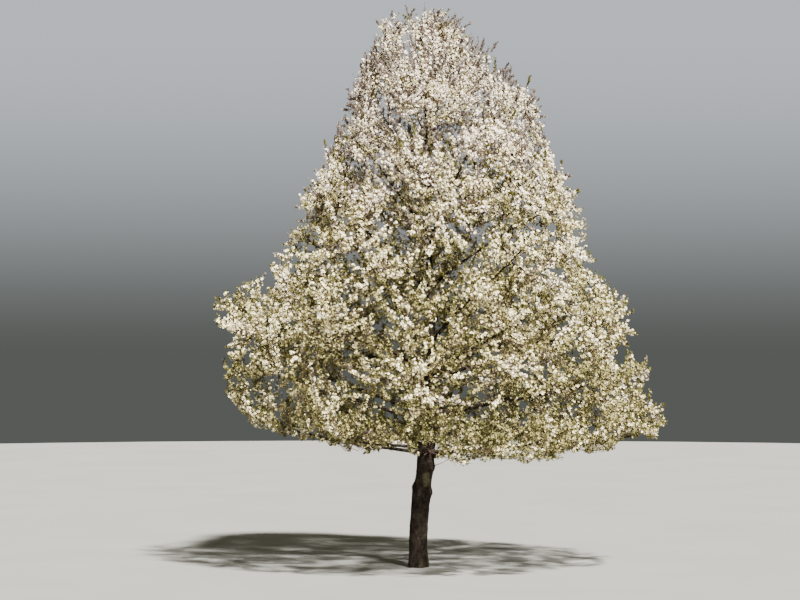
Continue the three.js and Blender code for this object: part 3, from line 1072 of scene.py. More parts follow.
def scatter_tree(name: str) -> Tree:
    """Build the tree that sets flowers or leaves on points, each turned to the point's aim.

    Args:
        name: The tree's name.

    Returns:
        The geometry node tree. Its inputs are Sources, Variants, Size, Spread, Seed and Material.
    """
    graph = Graph(bpy.data.node_groups.new(name, "GeometryNodeTree"))
    graph.sockets("OUTPUT", {"Geometry": Sockets.GEOMETRY}, {})
    graph.sockets("INPUT", {
        "Geometry": Sockets.GEOMETRY, "Sources": Sockets.COLLECTION, "Variants": Sockets.INT,
        "Size": Sockets.FLOAT, "Spread": Sockets.FLOAT, "Seed": Sockets.INT, "Material": Sockets.MATERIAL,
    }, {"Variants": 6, "Size": 1.0, "Spread": 0.15, "Seed": 1})
    given = graph.node("NodeGroupInput").outputs
    sources = graph.node(
        "GeometryNodeCollectionInfo",
        {"Collection": given["Sources"], "Separate Children": True, "Reset Children": True},
    )
    way = graph.attribute("aim", "FLOAT_VECTOR")
    turned = graph.node("FunctionNodeAlignRotationToVector", {"Vector": way}, axis="Z").outputs[0]
    roll = graph.random("FLOAT", {2: 0.0, 3: 2 * math.pi, "Seed": given["Seed"]}).outputs[1]
    rolled = graph.node("FunctionNodeAxisAngleToRotation", {"Axis": (0, 0, 1), "Angle": roll}).outputs[0]
    rotation = graph.node("FunctionNodeRotateRotation", {0: turned, 1: rolled}, rotation_space="LOCAL")
    least, most = graph.math("SUBTRACT", 1.0, given["Spread"]), graph.plus(1.0, given["Spread"])
    jitter = graph.random("FLOAT", {2: least, 3: most, "Seed": graph.plus(given["Seed"], 1.0)})
    last = graph.math("SUBTRACT", given["Variants"], 1.0)
    pick = graph.random("INT", {4: 0, 5: last, "Seed": graph.plus(given["Seed"], 2.0)})
    placed = graph.node("GeometryNodeInstanceOnPoints", {
        "Points": given["Geometry"], "Instance": sources.outputs[0], "Pick Instance": True,
        "Instance Index": pick.outputs[2], "Rotation": rotation.outputs[0],
        "Scale": graph.times(jitter.outputs[1], graph.attribute("size", "FLOAT"), given["Size"]),
    })
    graph.put_out(placed.outputs[0], given["Material"])
    return graph.tree


def twig_tree(name: str) -> Tree:
    """Build the tree that gives lines their thickness.

    Args:
        name: The tree's name.

    Returns:
        The geometry node tree. Its inputs are Sides and Material.
    """
    graph = Graph(bpy.data.node_groups.new(name, "GeometryNodeTree"))
    graph.sockets("OUTPUT", {"Geometry": Sockets.GEOMETRY}, {})
    graph.sockets("INPUT", {
        "Geometry": Sockets.GEOMETRY, "Sides": Sockets.INT, "Material": Sockets.MATERIAL,
    }, {"Sides": 3})
    given = graph.node("NodeGroupInput").outputs
    lines = graph.node("GeometryNodeMeshToCurve", {"Mesh": given["Geometry"]})
    section = graph.node("GeometryNodeCurvePrimitiveCircle", {"Resolution": given["Sides"], "Radius": 1.0})
    tubes = graph.node("GeometryNodeCurveToMesh", {
        "Curve": lines.outputs[0], "Profile Curve": section.outputs[0],
        "Scale": graph.attribute("thickness", "FLOAT"), "Fill Caps": True,
    })
    graph.put_out(tubes.outputs[0], given["Material"])
    return graph.tree


def run_tree(
    piece: Piece, tree: Tree, values: dict[str, object]
) -> Piece:
    """Run a geometry node tree on an object and keep the result as its plain mesh.

    Args:
        piece: The object whose mesh goes in.
        tree: The tree.
        values: A value for each of the tree's named inputs.

    Returns:
        The same object with the finished mesh.
    """
    modifier = piece.modifiers.new(tree.name, "NODES")
    modifier.node_group = tree
    for item in tree.interface.items_tree:
        if item.in_out == "INPUT" and item.name in values:
            modifier[item.identifier] = values[item.name]
    evaluated = piece.evaluated_get(bpy.context.evaluated_depsgraph_get())
    mesh = bpy.data.meshes.new_from_object(evaluated)
    mesh.name = piece.name
    piece.modifiers.remove(modifier)
    old = piece.data
    piece.data = mesh
    bpy.data.meshes.remove(old)
    return piece


# Trunk and limbs


@dataclass
class Grown:
    """Something that follows a growth."""

    growth: Growth

    @property
    def habit(self) -> Habit:
        """Give the growth's habit."""
        return self.growth.habit


@dataclass
class Trunk(Grown):
    """The trunk, with its bark relief, in a finely and a coarsely cut length."""

    split: float = 2900  # height where the fine cutting ends
    fine_step: float = 12
    fine_corners: int = 72
    coarse_step: float = 40
    coarse_corners: int = 30
    tuck: float = 4  # how much the upper length shrinks where it stands in the lower one
    fissure_depth: float = 8
    plate_relief: float = 4.5
    lump_relief: float = 9
    band_relief: float = 1.6
    knobs: tuple[tuple[float, float, float, float], ...] = (
        # height, azimuth in degrees, how far it stands out, its width
        (2200, 180, 52, 460), (1500, 180, 40, 360), (1600, 178, 28, 80), (2230, 0, -34, 300),
        (1960, 2, 24, 90), (1720, 0, -20, 240), (1460, 0, 28, 120), (1200, 0, -10, 300),
        (1250, 250, 14, 60), (1820, 292, 14, 90), (760, 225, 12, 90), (620, 330, 12, 80),
        (2180, 230, 16, 70), (1400, 90, 18, 75), (1950, 130, 16, 70),
    )

    def relief(self, height: Array, angle: Array, radius: Array) -> Array:
        """Give how far the bark stands in or out.

        Args:
            height: Heights on the trunk.
            angle: Angles round it.
            radius: The plain radius there.

        Returns:
            Millimetres outwards.
        """
        x, y = np.cos(angle) * radius, np.sin(angle) * radius
        old = 1 - smoothstep(2300, 4600, height)
        thick = radius / self.habit.girth[0][1]

        def noise(across: float, along: float, seed: int) -> Array:
            """Give noise with cells of some width and height."""
            return value_noise(np.stack([x / across, y / across, height / along], 1), seed)

        def bump(at: float, azimuth: float, out: float, width: float) -> Array:
            """Give a round swelling at a height and azimuth, so far out and of some half width."""
            off = (angle - azimuth + np.pi) % (2 * np.pi) - np.pi
            return out * np.exp(-((height - at) ** 2 + (off * radius) ** 2) / (2 * width**2))

        crack = 1 - np.clip(np.abs(noise(38, 120, 1) + 0.4 * noise(16, 50, 2)) * 3.2, 0, 1)
        cross = 1 - np.clip(np.abs(noise(70, 34, 3)) * 4, 0, 1)
        total = -self.fissure_depth * old * (crack**1.5 + 0.5 * cross**2)
        total += self.plate_relief * (0.35 + 0.65 * old) * noise(60, 75, 4)
        total += self.lump_relief * thick * noise(260, 420, 5)
        total += 1.6 * old * noise(9, 14, 6)
        total += self.band_relief * (1.3 - old) * noise(120, 13, 7)
        for at, azimuth, out, width in self.knobs:
            total += bump(at, math.radians(azimuth), out, width / 2)
        for limb in self.growth.limbs[:-1]:
            way = limb.path.tangents(np.array([0.05]))[0]
            at = limb.path.point(0.0)[2] + 0.5 * limb.girth
            total += bump(at, math.atan2(way[1], way[0]), 0.45 * limb.girth, 1.3 * limb.girth)
        return total

    def length_of_trunk(self, low: float, high: float, step: float, corners: int, tucked: float) -> Skin:
        """Make one length of the trunk.

        Args:
            low: Its lower end.
            high: Its upper end.
            step: The height of its rings.
            corners: The corners of each ring.
            tucked: The height below which it is a little thinner, to stand inside the length below.

        Returns:
            The skin.
        """
        habit = self.habit
        heights = np.linspace(low, high, int((high - low) / step) + 1)
        angles = np.linspace(0, 2 * np.pi, corners, endpoint=False)
        height, angle = (grid.ravel() for grid in np.meshgrid(heights, angles, indexing="ij"))
        radius = habit.trunk_radius(height)
        flare = 1 - smoothstep(0, habit.root_flare_height, height)
        radius = radius * (
            1 + flare * habit.root_lobe_depth * np.cos(habit.root_lobes * angle) / habit.girth[0][1]
        )
        fade = np.minimum(1, (habit.trunk_top - height) / 400 + 0.2)
        radius = radius + self.relief(height, angle, radius) * fade - self.tuck * (height < tucked)
        radius = np.maximum(radius, 6)
        skin = Skin()
        centres = habit.axis(heights)
        side, up = np.tile([1.0, 0, 0], (len(heights), 1)), np.tile([0, 1.0, 0], (len(heights), 1))
        skin.add_tube(centres, side, up, radius.reshape(len(heights), corners))
        return skin

    def build(self, bark: Material, young_bark: Material) -> None:
        """Make both lengths and dress them.

        Args:
            bark: The lower length's bark.
            young_bark: The upper length's bark.
        """
        lengths = {
            "trunk_lower": self.length_of_trunk(0, self.split, self.fine_step, self.fine_corners, -1),
            "trunk_upper": self.length_of_trunk(
                self.split - 60, self.habit.trunk_top, self.coarse_step, self.coarse_corners,
                self.split
            ),
        }
        for (name, skin), cover in zip(lengths.items(), (bark, young_bark)):
            finish_piece(skin.to_object(name, cover), ["trunk"])


@dataclass
class Limbs(Grown):
    """The boughs and the stems of the masses, with ringed bark and a collar at the trunk."""

    bough_corners: int = 14
    stem_corners: int = 7
    bough_step: float = 24
    stem_step: float = 85
    stem_end: float = 0.985  # where stems end, as a share of their limb
    collar: float = 0.75  # how much wider a limb is at the trunk, as a share of its radius
    collar_length: float = 85
    tip_radius: float = 3
    roughness: float = 0.09  # of the radius
    lumps: Pair = (1.6, 70)  # how fine round the limb, how long along it
    rings: Pair = (0.7, 16)

    def radii(self, limb: Limb, t: Array, corners: int) -> Array:
        """Give a limb's radius at each corner of its rings.

        Args:
            limb: The limb.
            t: The rings' places along it.
            corners: The corners of each ring.

        Returns:
            A row for each ring.
        """
        habit = self.habit
        neck = 1 - habit.plume_length / limb.length
        plain = limb.girth * (1 - habit.limb_taper * np.minimum(t, neck))
        end = limb.girth * (1 - habit.limb_taper * neck)
        plain = np.where(t > neck, mix(end, self.tip_radius, (t - neck) / (1 - neck)), plain)
        leader = limb is self.growth.limbs[-1]
        surface = 0.0 if leader else float(habit.trunk_radius(limb.path.point(0.0)[2]))
        from_trunk = np.maximum(t * limb.length - surface, 0)
        plain = plain * (1 + self.collar * np.exp(-from_trunk / self.collar_length) * (surface > 0))
        angle = np.linspace(0, 2 * np.pi, corners, endpoint=False)
        along = (t * limb.length)[:, None] + 0 * angle

        def noise(across: float, cell: float, seed: int) -> Array:
            """Give noise so fine round the limb, with cells so long."""
            rows = [np.cos(angle) * across + 0 * along, np.sin(angle) * across + 0 * along, along / cell]
            return value_noise(np.stack(rows, -1).reshape(-1, 3), seed + limb.index)

        rough = noise(*self.lumps, 11) + 0.35 * noise(*self.rings, 71)
        return plain[:, None] * (1 + self.roughness * rough.reshape(along.shape))

    def stretch(self, skin: Skin, limb: Limb, span: Pair, step: float, corners: int) -> None:
        """Add the stretch of a limb between two places to a skin.

        Args:
            skin: The skin that takes it.
            limb: The limb.
            span: The places along the limb where it starts and ends.
            step: The distance between its rings.
            corners: The corners of each ring.
        """
        t = np.linspace(span[0], span[1], max(3, int(limb.length * (span[1] - span[0]) / step) + 1))
        _, side, up = limb.path.sections(t)
        skin.add_tube(limb.path.points(t), side, up, self.radii(limb, t, corners))

    def build(self, bark: Material) -> None:
        """Make the boughs as one piece and the stems as another, and dress them.

        Args:
            bark: The bark of both pieces.
        """
        boughs, stems = Skin(), Skin()
        for limb in self.growth.limbs:
            start = 0.5 * float(self.habit.trunk_radius(limb.path.point(0.0)[2])) / limb.length
            if limb.bough:
                self.stretch(boughs, limb, (start, limb.bare), self.bough_step, self.bough_corners)
                start = limb.bare
            if limb is self.growth.limbs[-1]:
                start = 0.0
            self.stretch(stems, limb, (start, self.stem_end), self.stem_step, self.stem_corners)
        for name, skin, replaced in (("boughs", boughs, "bough_"), ("stems", stems, "blossom_")):
            finish_piece(skin.to_object(name, bark), nodes_named(replaced))


# Twigs, flowers and leaves


@dataclass
class Lines:
    """Lines with a thickness at each point, in millimetres."""

    points: list[Array] = field(default_factory=list)
    thickness: list[Array] = field(default_factory=list)

    def add(self, points: Array, thickness: Array) -> None:
        """Add one line."""
        self.points.append(points)
        self.thickness.append(thickness)

    def to_object(self, name: str) -> Piece:
        """Make an object of edges, in metres, with the thickness as an attribute.

        Args:
            name: The object's name.

        Returns:
            The object, linked to the scene.
        """
        edges, first = [], 0
        for line in self.points:
            edges.extend((first + i, first + i + 1) for i in range(len(line) - 1))
            first += len(line)
        mesh = bpy.data.meshes.new(name)
        mesh.from_pydata(np.concatenate(self.points) * METRE, edges, [])
        attribute = mesh.attributes.new("thickness", "FLOAT", "POINT")
        attribute.data.foreach_set("value", np.concatenate(self.thickness) * METRE)
        return add_object(name, mesh)


@dataclass
class Seats:
    """Places where flowers or leaves sit, each with its aim, size and tint."""

    places: list[Array] = field(default_factory=list)
    aims: list[Array] = field(default_factory=list)
    sizes: list[Array] = field(default_factory=list)
    tints: list[Array] = field(default_factory=list)

    def add(self, places: Array, aims: Array, sizes: Array, tint: int) -> None:
        """Add some seats of one tint.

        Args:
            places: Where the seats are.
            aims: The way out from each.
            sizes: The scale of what sits there.
            tint: The tint's number.
        """
        self.places.append(places)
        self.aims.append(aims)
        self.sizes.append(sizes)
        self.tints.append(np.full(len(places), tint))

    def of_tint(self, tint: int) -> tuple[Array, Array, Array]:
        """Give the places, aims and sizes of one tint."""
        chosen = np.concatenate(self.tints) == tint
        return tuple(np.concatenate(rows)[chosen] for rows in (self.places, self.aims, self.sizes))


def seats_object(name: str, places: Array, aims: Array, sizes: Array) -> Piece:
    """Make an object of loose points, in metres, with aim and size as attributes.

    Args:
        name: The object's name.
        places: The points, in millimetres.
        aims: The way out from each.
        sizes: The scale at each.

    Returns:
        The object, linked to the scene.
    """
    mesh = bpy.data.meshes.new(name)
    mesh.from_pydata(places * METRE, [], [])
    mesh.attributes.new("aim", "FLOAT_VECTOR", "POINT").data.foreach_set(
        "vector", aims.astype(np.float32).ravel()
    )
    mesh.attributes.new("size", "FLOAT", "POINT").data.foreach_set("value", sizes.astype(np.float32))
    return add_object(name, mesh)


@dataclass
class Crowd:
    """The places that are taken, kept in cells so that near ones are found fast."""

    cell: float = 260
    cells: dict[tuple[int, int, int], list[Array]] = field(default_factory=dict)

    def add(self, points: Array) -> None:
        """Take some places."""
        for key, point in zip((points // self.cell).astype(int).tolist(), points):
            self.cells.setdefault(tuple(key), []).append(point)

    def nearest(self, point: Array) -> float:
        """Give the distance to the nearest place taken, or the cell's size if it is further off.

        Args:
            point: The point.

        Returns:
            The distance.
        """
        x, y, z = (point // self.cell).astype(int).tolist()
        near = []
        for i in (x - 1, x, x + 1):
            for j in (y - 1, y, y + 1):
                for k in (z - 1, z, z + 1):
                    near.extend(self.cells.get((i, j, k), ()))
        if not near:
            return self.cell
        return min(self.cell, math.sqrt(float(((np.array(near) - point) ** 2).sum(1).min())))


@dataclass(frozen=True)
class TrunkShoot:
    """A thin shoot low on the trunk, under the crown. Millimetres and degrees."""

    height: float
    azimuth: float
    length: float
    rise: float
    sag: float
    radius: float
    bare: float  # share of it that bears no flowers


@dataclass
class FineGrowth(Grown):
    """Carries limbs and sprays on to finer shoots and twigs, and seats their flowers and leaves."""

    fine_shells: tuple[Shell, ...] = tuple(Shell(*sizes) for sizes in (
        (1200, 0.995, 2280, 11040, 0.3, 71), (900, 0.9, 2350, 10800, 0.2, 23),
        (600, 0.78, 2450, 10500, 0.2, 149), (420, 0.65, 2600, 10200, 0.3, 307),
        (260, 0.5, 2700, 9900, 0.4, 211), (170, 0.34, 2800, 9500, 0.6, 11), (90, 0.18, 2900, 9000, 1, 97),
        (210, 0.97, 7900, 10950, 0.95, 57, 340), (480, 0.97, 7000, 11050, 0.9, 190),
        (360, 0.8, 7000, 10800, 0.9, 333), (420, 1.0, 2500, 7800, 0.3, 401, 0, 0.2),
    ))
    # round a new shoot's tip, for each shell
    clearances: tuple[float, ...] = (160, 185, 205, 230, 245, 260, 260, 100, 130, 150, 150)
    fine_spray: Pair = (560, 120)  # the longest, and its half width
    # how much that varies, the share of a short spray, the loss high up, the share of a spire's spray
    fine_widths: tuple[float, float, float, float] = (0.3, 0.6, 0.2, 0.7)
    fine_share: float = 0.85  # of its shoot that a fine spray may cover
    depth_jitter: float = 60
    overshoot: float = 260  # how far shoots may rise above their shell at the top of the crown
    headroom: Pair = (240, -150)  # above the crown's outline, at its shoulders and at its top
    headroom_span: Pair = (9400, 10700)  # heights between them
    top_rows: int = 7  # of the outline, which bound the top
    top_left: float = 0.86  # how much narrower the top is to the left
    spire_rise: float = 200  # how much higher the shoots that stand out may end
    spire_share: Pair = (0.5, 1.15)  # of its rise above its shell, least and most
    most_short: float = -0.7  # share of spire_rise by which the lowest ends below that
    most_over: Pair = (0.1, 1.1)  # and the highest above it, of other shells and of a spire's
    # nothing flowers below this height so near, right and left
    clear_of_trunk: Triple = (2560, 230, 1000)
    clear_depth: float = 0.1  # how much distance to the front or back counts beside distance to the side
    # the crown's lower edge: its height, its lobes' depth, its lift to the left
    hem: Triple = (2180, 330, 200)
    # where it hangs lower: how far, how far right and how widely
    hang: Triple = (290, 1750, 1350)
    hang_span: Pair = (2300, 3000)  # heights of the tips that hang, fading upwards
    fringe: Pair = (150, 260)  # how ragged that edge is in the small, and how widely
    fringe_seed: int = 5
    dip: float = 120  # how far a shoot may end below that edge
    hem_lobes: float = 3.2  # how finely it is lobed round the crown
    hem_noise: Pair = (0.45, 1.1)  # the lobes' middle and their swing
    hem_seed: int = 9
    # places to the left of the trunk between which it lifts, and the share of the lift
    hem_steps: tuple[Triple, ...] = ((-2700, -1700, 1), (-700, -100, 0.4))
    # how far the finer shoots may fall short of their shell, as a share of the reach
    raggedness: float = 0.25
    lobe_size: float = 760  # how wide the lobes and hollows of the crown are
    lobe_seed: int = 225
    lobe_noise: Pair = (0.5, 0.95)  # the hollows' middle and their swing
    top_firmness: float = 0.6  # how much less ragged the top is
    # shares of the reach between which the painted shade of the crown's inside gives way to the bright tints
    inside: Pair = (0.4, 0.85)
    pocket_size: float = 640  # of the leafier pockets of the crown, whose tints are darker as painted shade
    pocket_seed: int = 17
    pocket_noise: Pair = (0.05, 0.5)  # between which they deepen
    pocket_shade: Pair = (0.8, 0.05)  # how much painted shade they get, low and high
    pocket_span: Pair = (3700, 7400)
    low_shade: float = 0.76  # how much painted shade darkens its foot
    low_span: Pair = (2400, 5300)
    middle_shade: float = 0.38  # and its middle, over the trunk, also as painted shade
    middle_span: Pair = (4700, 6900)
    middle_width: float = 1100
    fine_sag: float = 0.34
    fine_setback: Pair = (0.75, 1.45)  # low and high in the crown
    least_gap: float = 46  # between flower clusters
    gap_power: float = 1.6  # by which it shrinks faster than their scale
    low_gap: float = 0.65  # share of it that is kept under the crown
    shortest_fine_shoot: float = 160
    lowest_on_trunk: float = 3100
    shoot_bare: float = 0.12  # share of a shoot that bears nothing
    fine_shoot_radius: float = 4.5
    fine_taper: float = 0.003  # how much thicker for each millimetre of length
    fine_tip: Pair = (2.0, 1.6)  # a fine shoot's radius at its tip, and how much more high up
    twig_room: float = 42000  # of a spray's length times its half width, for each twig
    twig_reach: float = 0.64  # of the spray, beyond which it bears no twigs
    twig_angle: float = 40
    twig_lift: float = 0.45
    shortest_twig: float = 110
    flower_spacing: float = 55
    high_density: float = 0.78  # of the room round a shoot's tip at the top of the crown
    high_scale: float = 0.74  # of the flowers, leaves and gaps at the top of the crown
    tip_without_flowers: float = 0.13  # of a spray high in the crown
    spire_tip: float = 1.9  # how many times as long it is on the shoots that stand out at the top
    tip_tufts: int = 7  # of leaves, on such a tip
    tufted_share: float = 0.6  # of the sprays high in the crown
    # tufts of leaves for each flower cluster, low and high in the crown
    leafing: Pair = (0.46, 0.25)
    bronzed: Pair = (0.12, 0.8)  # share of bronze sprays low down, and how many more high up
    inner_spacing: float = 74  # along the wood below the sprays
    offset: float = 6  # of a flower cluster from the wood's axis
    upper_crown: Pair = (5600, 9200)  # heights over which the tints turn
    # of each tint: low outside, low inside, high outside, high inside, inside meaning in painted shade
    shares: tuple[tuple[float, ...], ...] = (
        (0.54, 0.31, 0.13, 0.02, 0.0), (0.04, 0.2, 0.74, 0.0, 0.02), (0.22, 0.05, 0.0, 0.68, 0.05),
        (0.12, 0.14, 0.08, 0.44, 0.22),
    )
    trunk_spray_width: float = 260
    trunk_spurs: int = 84  # on the upper trunk
    spur_span: Pair = (5200, 10500)  # heights between which they stand
    spur_length: float = 420
    spur_rise: Pair = (35, 62)  # degrees, low and high
    spur_bare: float = 0.2  # share of it that bears no flowers
    spur_width: float = 75
    # first seeds of each kind of wood or spray, so that no two draw the same numbers
    shoot_seed: int = 5000
    limb_seed: int = 9000
    fine_seed: int = 20000
    shell_seeds: int = 1000
    trunk_shoot_seed: int = 40000
    spur_seed: int = 41000
    trunk_shoots: tuple[TrunkShoot, ...] = tuple(TrunkShoot(*sizes) for sizes in (
        (2330, 184, 640, 70, 90, 10, 1), (2420, 196, 760, 60, 30, 10, 0.6),
        (2235, 350, 700, -200, -70, 14, 0.5), (1960, 350, 490, 190, 60, 12, 1),
        (2600, 346, 660, -330, -90, 11, 0.36), (2520, 338, 700, -180, -60, 11, 0.4),
        (2560, 354, 740, -420, -120, 11, 0.45), (2300, 200, 345, 30, 0, 6, 0.64),
        (2270, 218, 340, -35, 0, 6, 0.66), (2250, 210, 330, 0, 0, 6, 0.66),
        (2330, 208, 350, -20, -20, 6, 0.64), (2240, 198, 340, 20, 10, 6, 0.66),
        (2560, 346, 760, -540, -150, 9, 0.42), (2600, 350, 720, -560, -160, 9, 0.45),
        (2520, 340, 740, -480, -140, 9, 0.45), (2540, 190, 1260, -270, -150, 11, 0.66),
        (2560, 196, 1240, -120, -100, 11, 0.7),
    ))
    crowd: Crowd = field(default_factory=Crowd)
    twigs: Lines = field(default_factory=Lines)
    shoots: Lines = field(default_factory=Lines)
    fine_shoots: Lines = field(default_factory=Lines)
    flowers: Seats = field(default_factory=Seats)
    leaves: Seats = field(default_factory=Seats)

    def shade_of(self, place: Array) -> float:
        """Give how shaded a place is, as painted shade on its tints, from 0 near the crown's outline to 1
        near the trunk or in a pocket.

        Args:
            place: The place.

        Returns:
            The shade.
        """
        out = place - self.habit.axis(place[2])
        reach = self.habit.reach(place[2], math.atan2(out[1], out[0]))
        deep = 1 - climb(*self.inside, math.hypot(out[0], out[1]) / reach)
        noise = value_noise(place[None] / self.pocket_size, self.pocket_seed)[0]
        pocket = climb(*self.pocket_noise, noise)
        pocket *= mix(*self.pocket_shade, climb(*self.pocket_span, place[2]))
        low = self.low_shade * (1 - climb(*self.low_span, place[2]))
        middle = self.middle_shade * math.exp(-((out[0] / self.middle_width) ** 2))
        low += middle * (1 - climb(*self.middle_span, place[2]))
        return min(1.0, max(deep, pocket) + low)

    def height_share(self, height: float) -> float:
        """Give 0 low in the crown and 1 high in it."""
        return climb(*self.upper_crown, height)

    def bloom_for(self, place: Array, pick: float) -> int:
        """Deal a tint to a spray: brightest outside, duller with painted shade deep in the crown, in pockets
        and low down, pinker high up.

        Args:
            place: The spray's middle.
            pick: The spray's number from 0 to 1.

        Returns:
            The tint's place in Bloom.
        """
        deep = self.shade_of(place)
        high = self.height_share(place[2])
        total = 0.0
        for i, (low_out, low_deep, high_out, high_deep) in enumerate(zip(*self.shares)):
            total += mix(mix(low_out, low_deep, deep), mix(high_out, high_deep, deep), high)
            if pick < total:
                return i
        return len(self.shares[0]) - 1

    def leaf_for(self, height: float, pick: float) -> int:
        """Deal a tint to a spray's leaves: olive low in the crown, bronze high up."""
        least, more = self.bronzed
        return int(pick < least + more * self.height_share(height))

    def scale_at(self, height: float) -> float:
        """Give the scale of flowers, leaves and gaps at a height."""
        return mix(1, self.high_scale, self.height_share(height))

    def ceiling(self, place: Array) -> float:
        """Give how high shoots may end over a place.

        Args:
            place: The place.

        Returns:
            The height of the highest tip there, before the standing shoots' own share.
        """
        out = place - self.habit.axis(place[2])
        heights, left, right = np.array(self.habit.outline[-self.top_rows :]).T
        reaches = mix(left * self.top_left, right, (1 + math.cos(math.atan2(out[1], out[0]))) / 2)
        over = float(np.interp(-math.hypot(out[0], out[1]), -reaches, heights))
        return over + mix(*self.headroom, climb(*self.headroom_span, over))

    def hang_at(self, to_right: Array | float) -> Array | float:
        """Give how far the crown hangs lower there than elsewhere."""
        depth, middle, width = self.hang
        return depth * np.exp(-(((to_right - middle) / width) ** 2))

    def lower_edge(self, points: Array) -> Array:
        """Give the height of the crown's ragged lower edge over places on the ground.

        Args:
            points: A row for each place.

        Returns:
            A height for each place.
        """
        out = points - self.habit.axis(points[:, 2])
        away = np.hypot(out[:, 0], self.clear_depth * out[:, 1]) + 1e-6
        height, right, left = self.clear_of_trunk
        near = 1 - smoothstep(0.5, 1, away / mix(left, right, (1 + out[:, 0] / away) / 2))
        low, depth, lift = self.hem
        round_about = unit(out * np.array([1, 1, 0]))
        level, swing_of_lobes = self.hem_noise
        noise = value_noise(round_about * self.hem_lobes + 7, self.hem_seed)
        edge = low + depth * np.clip(level + swing_of_lobes * noise, 0, 1)
        for start, end, share in self.hem_steps:
            edge = edge + share * lift * (1 - smoothstep(start, end, out[:, 0]))
        edge = np.maximum(edge - self.hang_at(points[:, 0]), low + (height - low) * near)
        return edge + self.fringe[0] * value_noise(points / self.fringe[1], self.fringe_seed)

    def above_edge(self, path: Path) -> bool:
        """Tell whether a path ends above the crown's lower edge, or nearly so."""
        tip = path.point(1.0)
        return bool(tip[2] > self.lower_edge(tip[None])[0] - self.dip)

    def seat_leaves(
        self, points: Array, aims: Array, sizes: Array, tint: int, low: bool = False
    ) -> None:
        """Seat tufts of leaves above the crown's lower edge, or anywhere if low."""
        kept = (points[:, 2] > self.lower_edge(points)) | low
        self.leaves.add(points[kept], aims[kept], sizes[kept], tint)

    def seat_line(
        self, points: Array, along: Array, rng: np.random.Generator, tint: int, low: bool = False
    ) -> None:
        """Seat flower clusters along a line, round and round it.

        Args:
            points: The clusters' feet.
            along: The line's direction at each foot.
            rng: The spray's seeded numbers.
            tint: The tint's place in Bloom.
            low: Whether they may sit below the crown's lower edge.
        """
        above = (points[:, 2] > self.lower_edge(points)) | low
        points, along = points[above], along[above]
        count = len(points)
        if not count:
            return
        size = self.scale_at(float(points[:, 2].mean()))
        side = unit(np.cross(along, UP + 0.01))
        up = np.cross(side, along)
        turn = np.radians(GOLDEN_TURN) * np.arange(count) + rng.uniform(0, 2 * np.pi)
        aims = side * np.cos(turn)[:, None] + up * np.sin(turn)[:, None]
        aims = unit(aims + along * 0.35 + UP * 0.2 + rng.normal(0, 0.2, (count, 3)))
        sizes = size * rng.uniform(0.85, 1.15, count)
        places = points + aims * self.offset
        gap = self.least_gap * size**self.gap_power * (self.low_gap if low else 1)
        free = np.array([self.crowd.nearest(place) > gap for place in places])
        self.crowd.add(places[free])
        self.flowers.add(places[free], aims[free], sizes[free], tint)

    def grow_spray(self, spray: Spray) -> None:
        """Grow a spray's twigs and seat its flowers and leaves.

        Args:
            spray: The spray, whose space the twigs fill.
        """
        rng = np.random.default_rng(spray.seed)
        middle = spray.path.point(mix(spray.start, 1, 0.5))
        tint = 0 if spray.low else self.bloom_for(middle, chance(spray.seed, 21))
        leaf = self.leaf_for(middle[2], chance(spray.seed, 22))
        high, scale = self.height_share(middle[2]), self.scale_at(middle[2])
        count = max(2, round(spray.length / self.flower_spacing / scale))
        s = (np.arange(count) + 0.6) / count
        bare = self.tip_without_flowers * (self.spire_tip if spray.spire else high)
        s = s[s < 1 - bare]
        t = spray.start + (1 - spray.start) * s
        self.seat_line(spray.path.points(t), spray.path.tangents(t), rng, tint, spray.low)
        deep = self.shade_of(middle)
        leafy = rng.random(len(t)) < mix(*self.leafing, high) + 0.3 * deep
        t = t[leafy]
        aims = unit(spray.path.tangents(t) + UP * 0.4 + rng.normal(0, 0.45, (len(t), 3)))
        sizes = scale * rng.uniform(0.8, 1.2, len(t)) * (1 + 0.4 * deep)
        self.seat_leaves(spray.path.points(t), aims, sizes, leaf, spray.low)
        tufted = spray.spire or (high > 0.3 and deep < 0.5 and chance(spray.seed, 26) < self.tufted_share)
        ends = self.tip_tufts if tufted else 1
        t = 1 - (1 - spray.start) * max(bare, 0.04) * np.arange(ends) / max(1, ends - 1)
        aims = unit(spray.path.tangents(t) + UP * 0.6 + rng.normal(0, 0.25, (ends, 3)))
        sizes = rng.uniform(0.9, 1.2, ends) * (1.2 if spray.spire else 1)
        self.seat_leaves(spray.path.points(t), aims, sizes, leaf)
        twigs = max(1, round(spray.length * spray.half_width / self.twig_room))
        places = 0.04 + (self.twig_reach - 0.04) * (np.arange(twigs) + rng.uniform(0.3, 0.7)) / twigs
        along, side, up = spray.path.sections(spray.start + (1 - spray.start) * places)
        roots = spray.path.points(spray.start + (1 - spray.start) * places)
        spin = rng.uniform(0, 2 * np.pi)
        waist = self.habit.plume_waist
        for k in range(twigs):
            angle = math.radians(self.twig_angle * (1 - 0.35 * high) + rng.uniform(-9, 9))
            turn = math.radians(GOLDEN_TURN) * k + spin
            out = side[k] * math.cos(turn) + up[k] * math.sin(turn)
            way = unit(
                along[k] * math.cos(angle) + out * math.sin(angle) + UP * self.twig_lift * (1 + 1.6 * high)
            )
            if roots[k, 2] < self.lower_edge(roots[k : k + 1])[0] and not spray.low:
                continue
            steps = np.arange(30, 520, 10.0)
            ahead = np.minimum(places[k] + steps * math.cos(angle) / spray.length, 1)
            room = spray.half_width * np.where(ahead < waist, ahead / waist, (1 - ahead) / (1 - waist))
            fits = steps[steps * math.sin(angle) < room * 1.1]
            length = max(float(fits[-1]) if len(fits) else 0.0, self.shortest_twig * rng.uniform(0.8, 1.2))
            bend = UP * length * 0.15 + out * length * rng.uniform(-0.06, 0.06)
            ends = np.array([roots[k], roots[k] + way * length + bend])
            self.twigs.add(ends, np.array([2.8, 1.4]) * (0.7 + length / 600))
            seats = max(1, round(length / self.flower_spacing / scale))
            where = (np.arange(seats) + 0.85) / seats
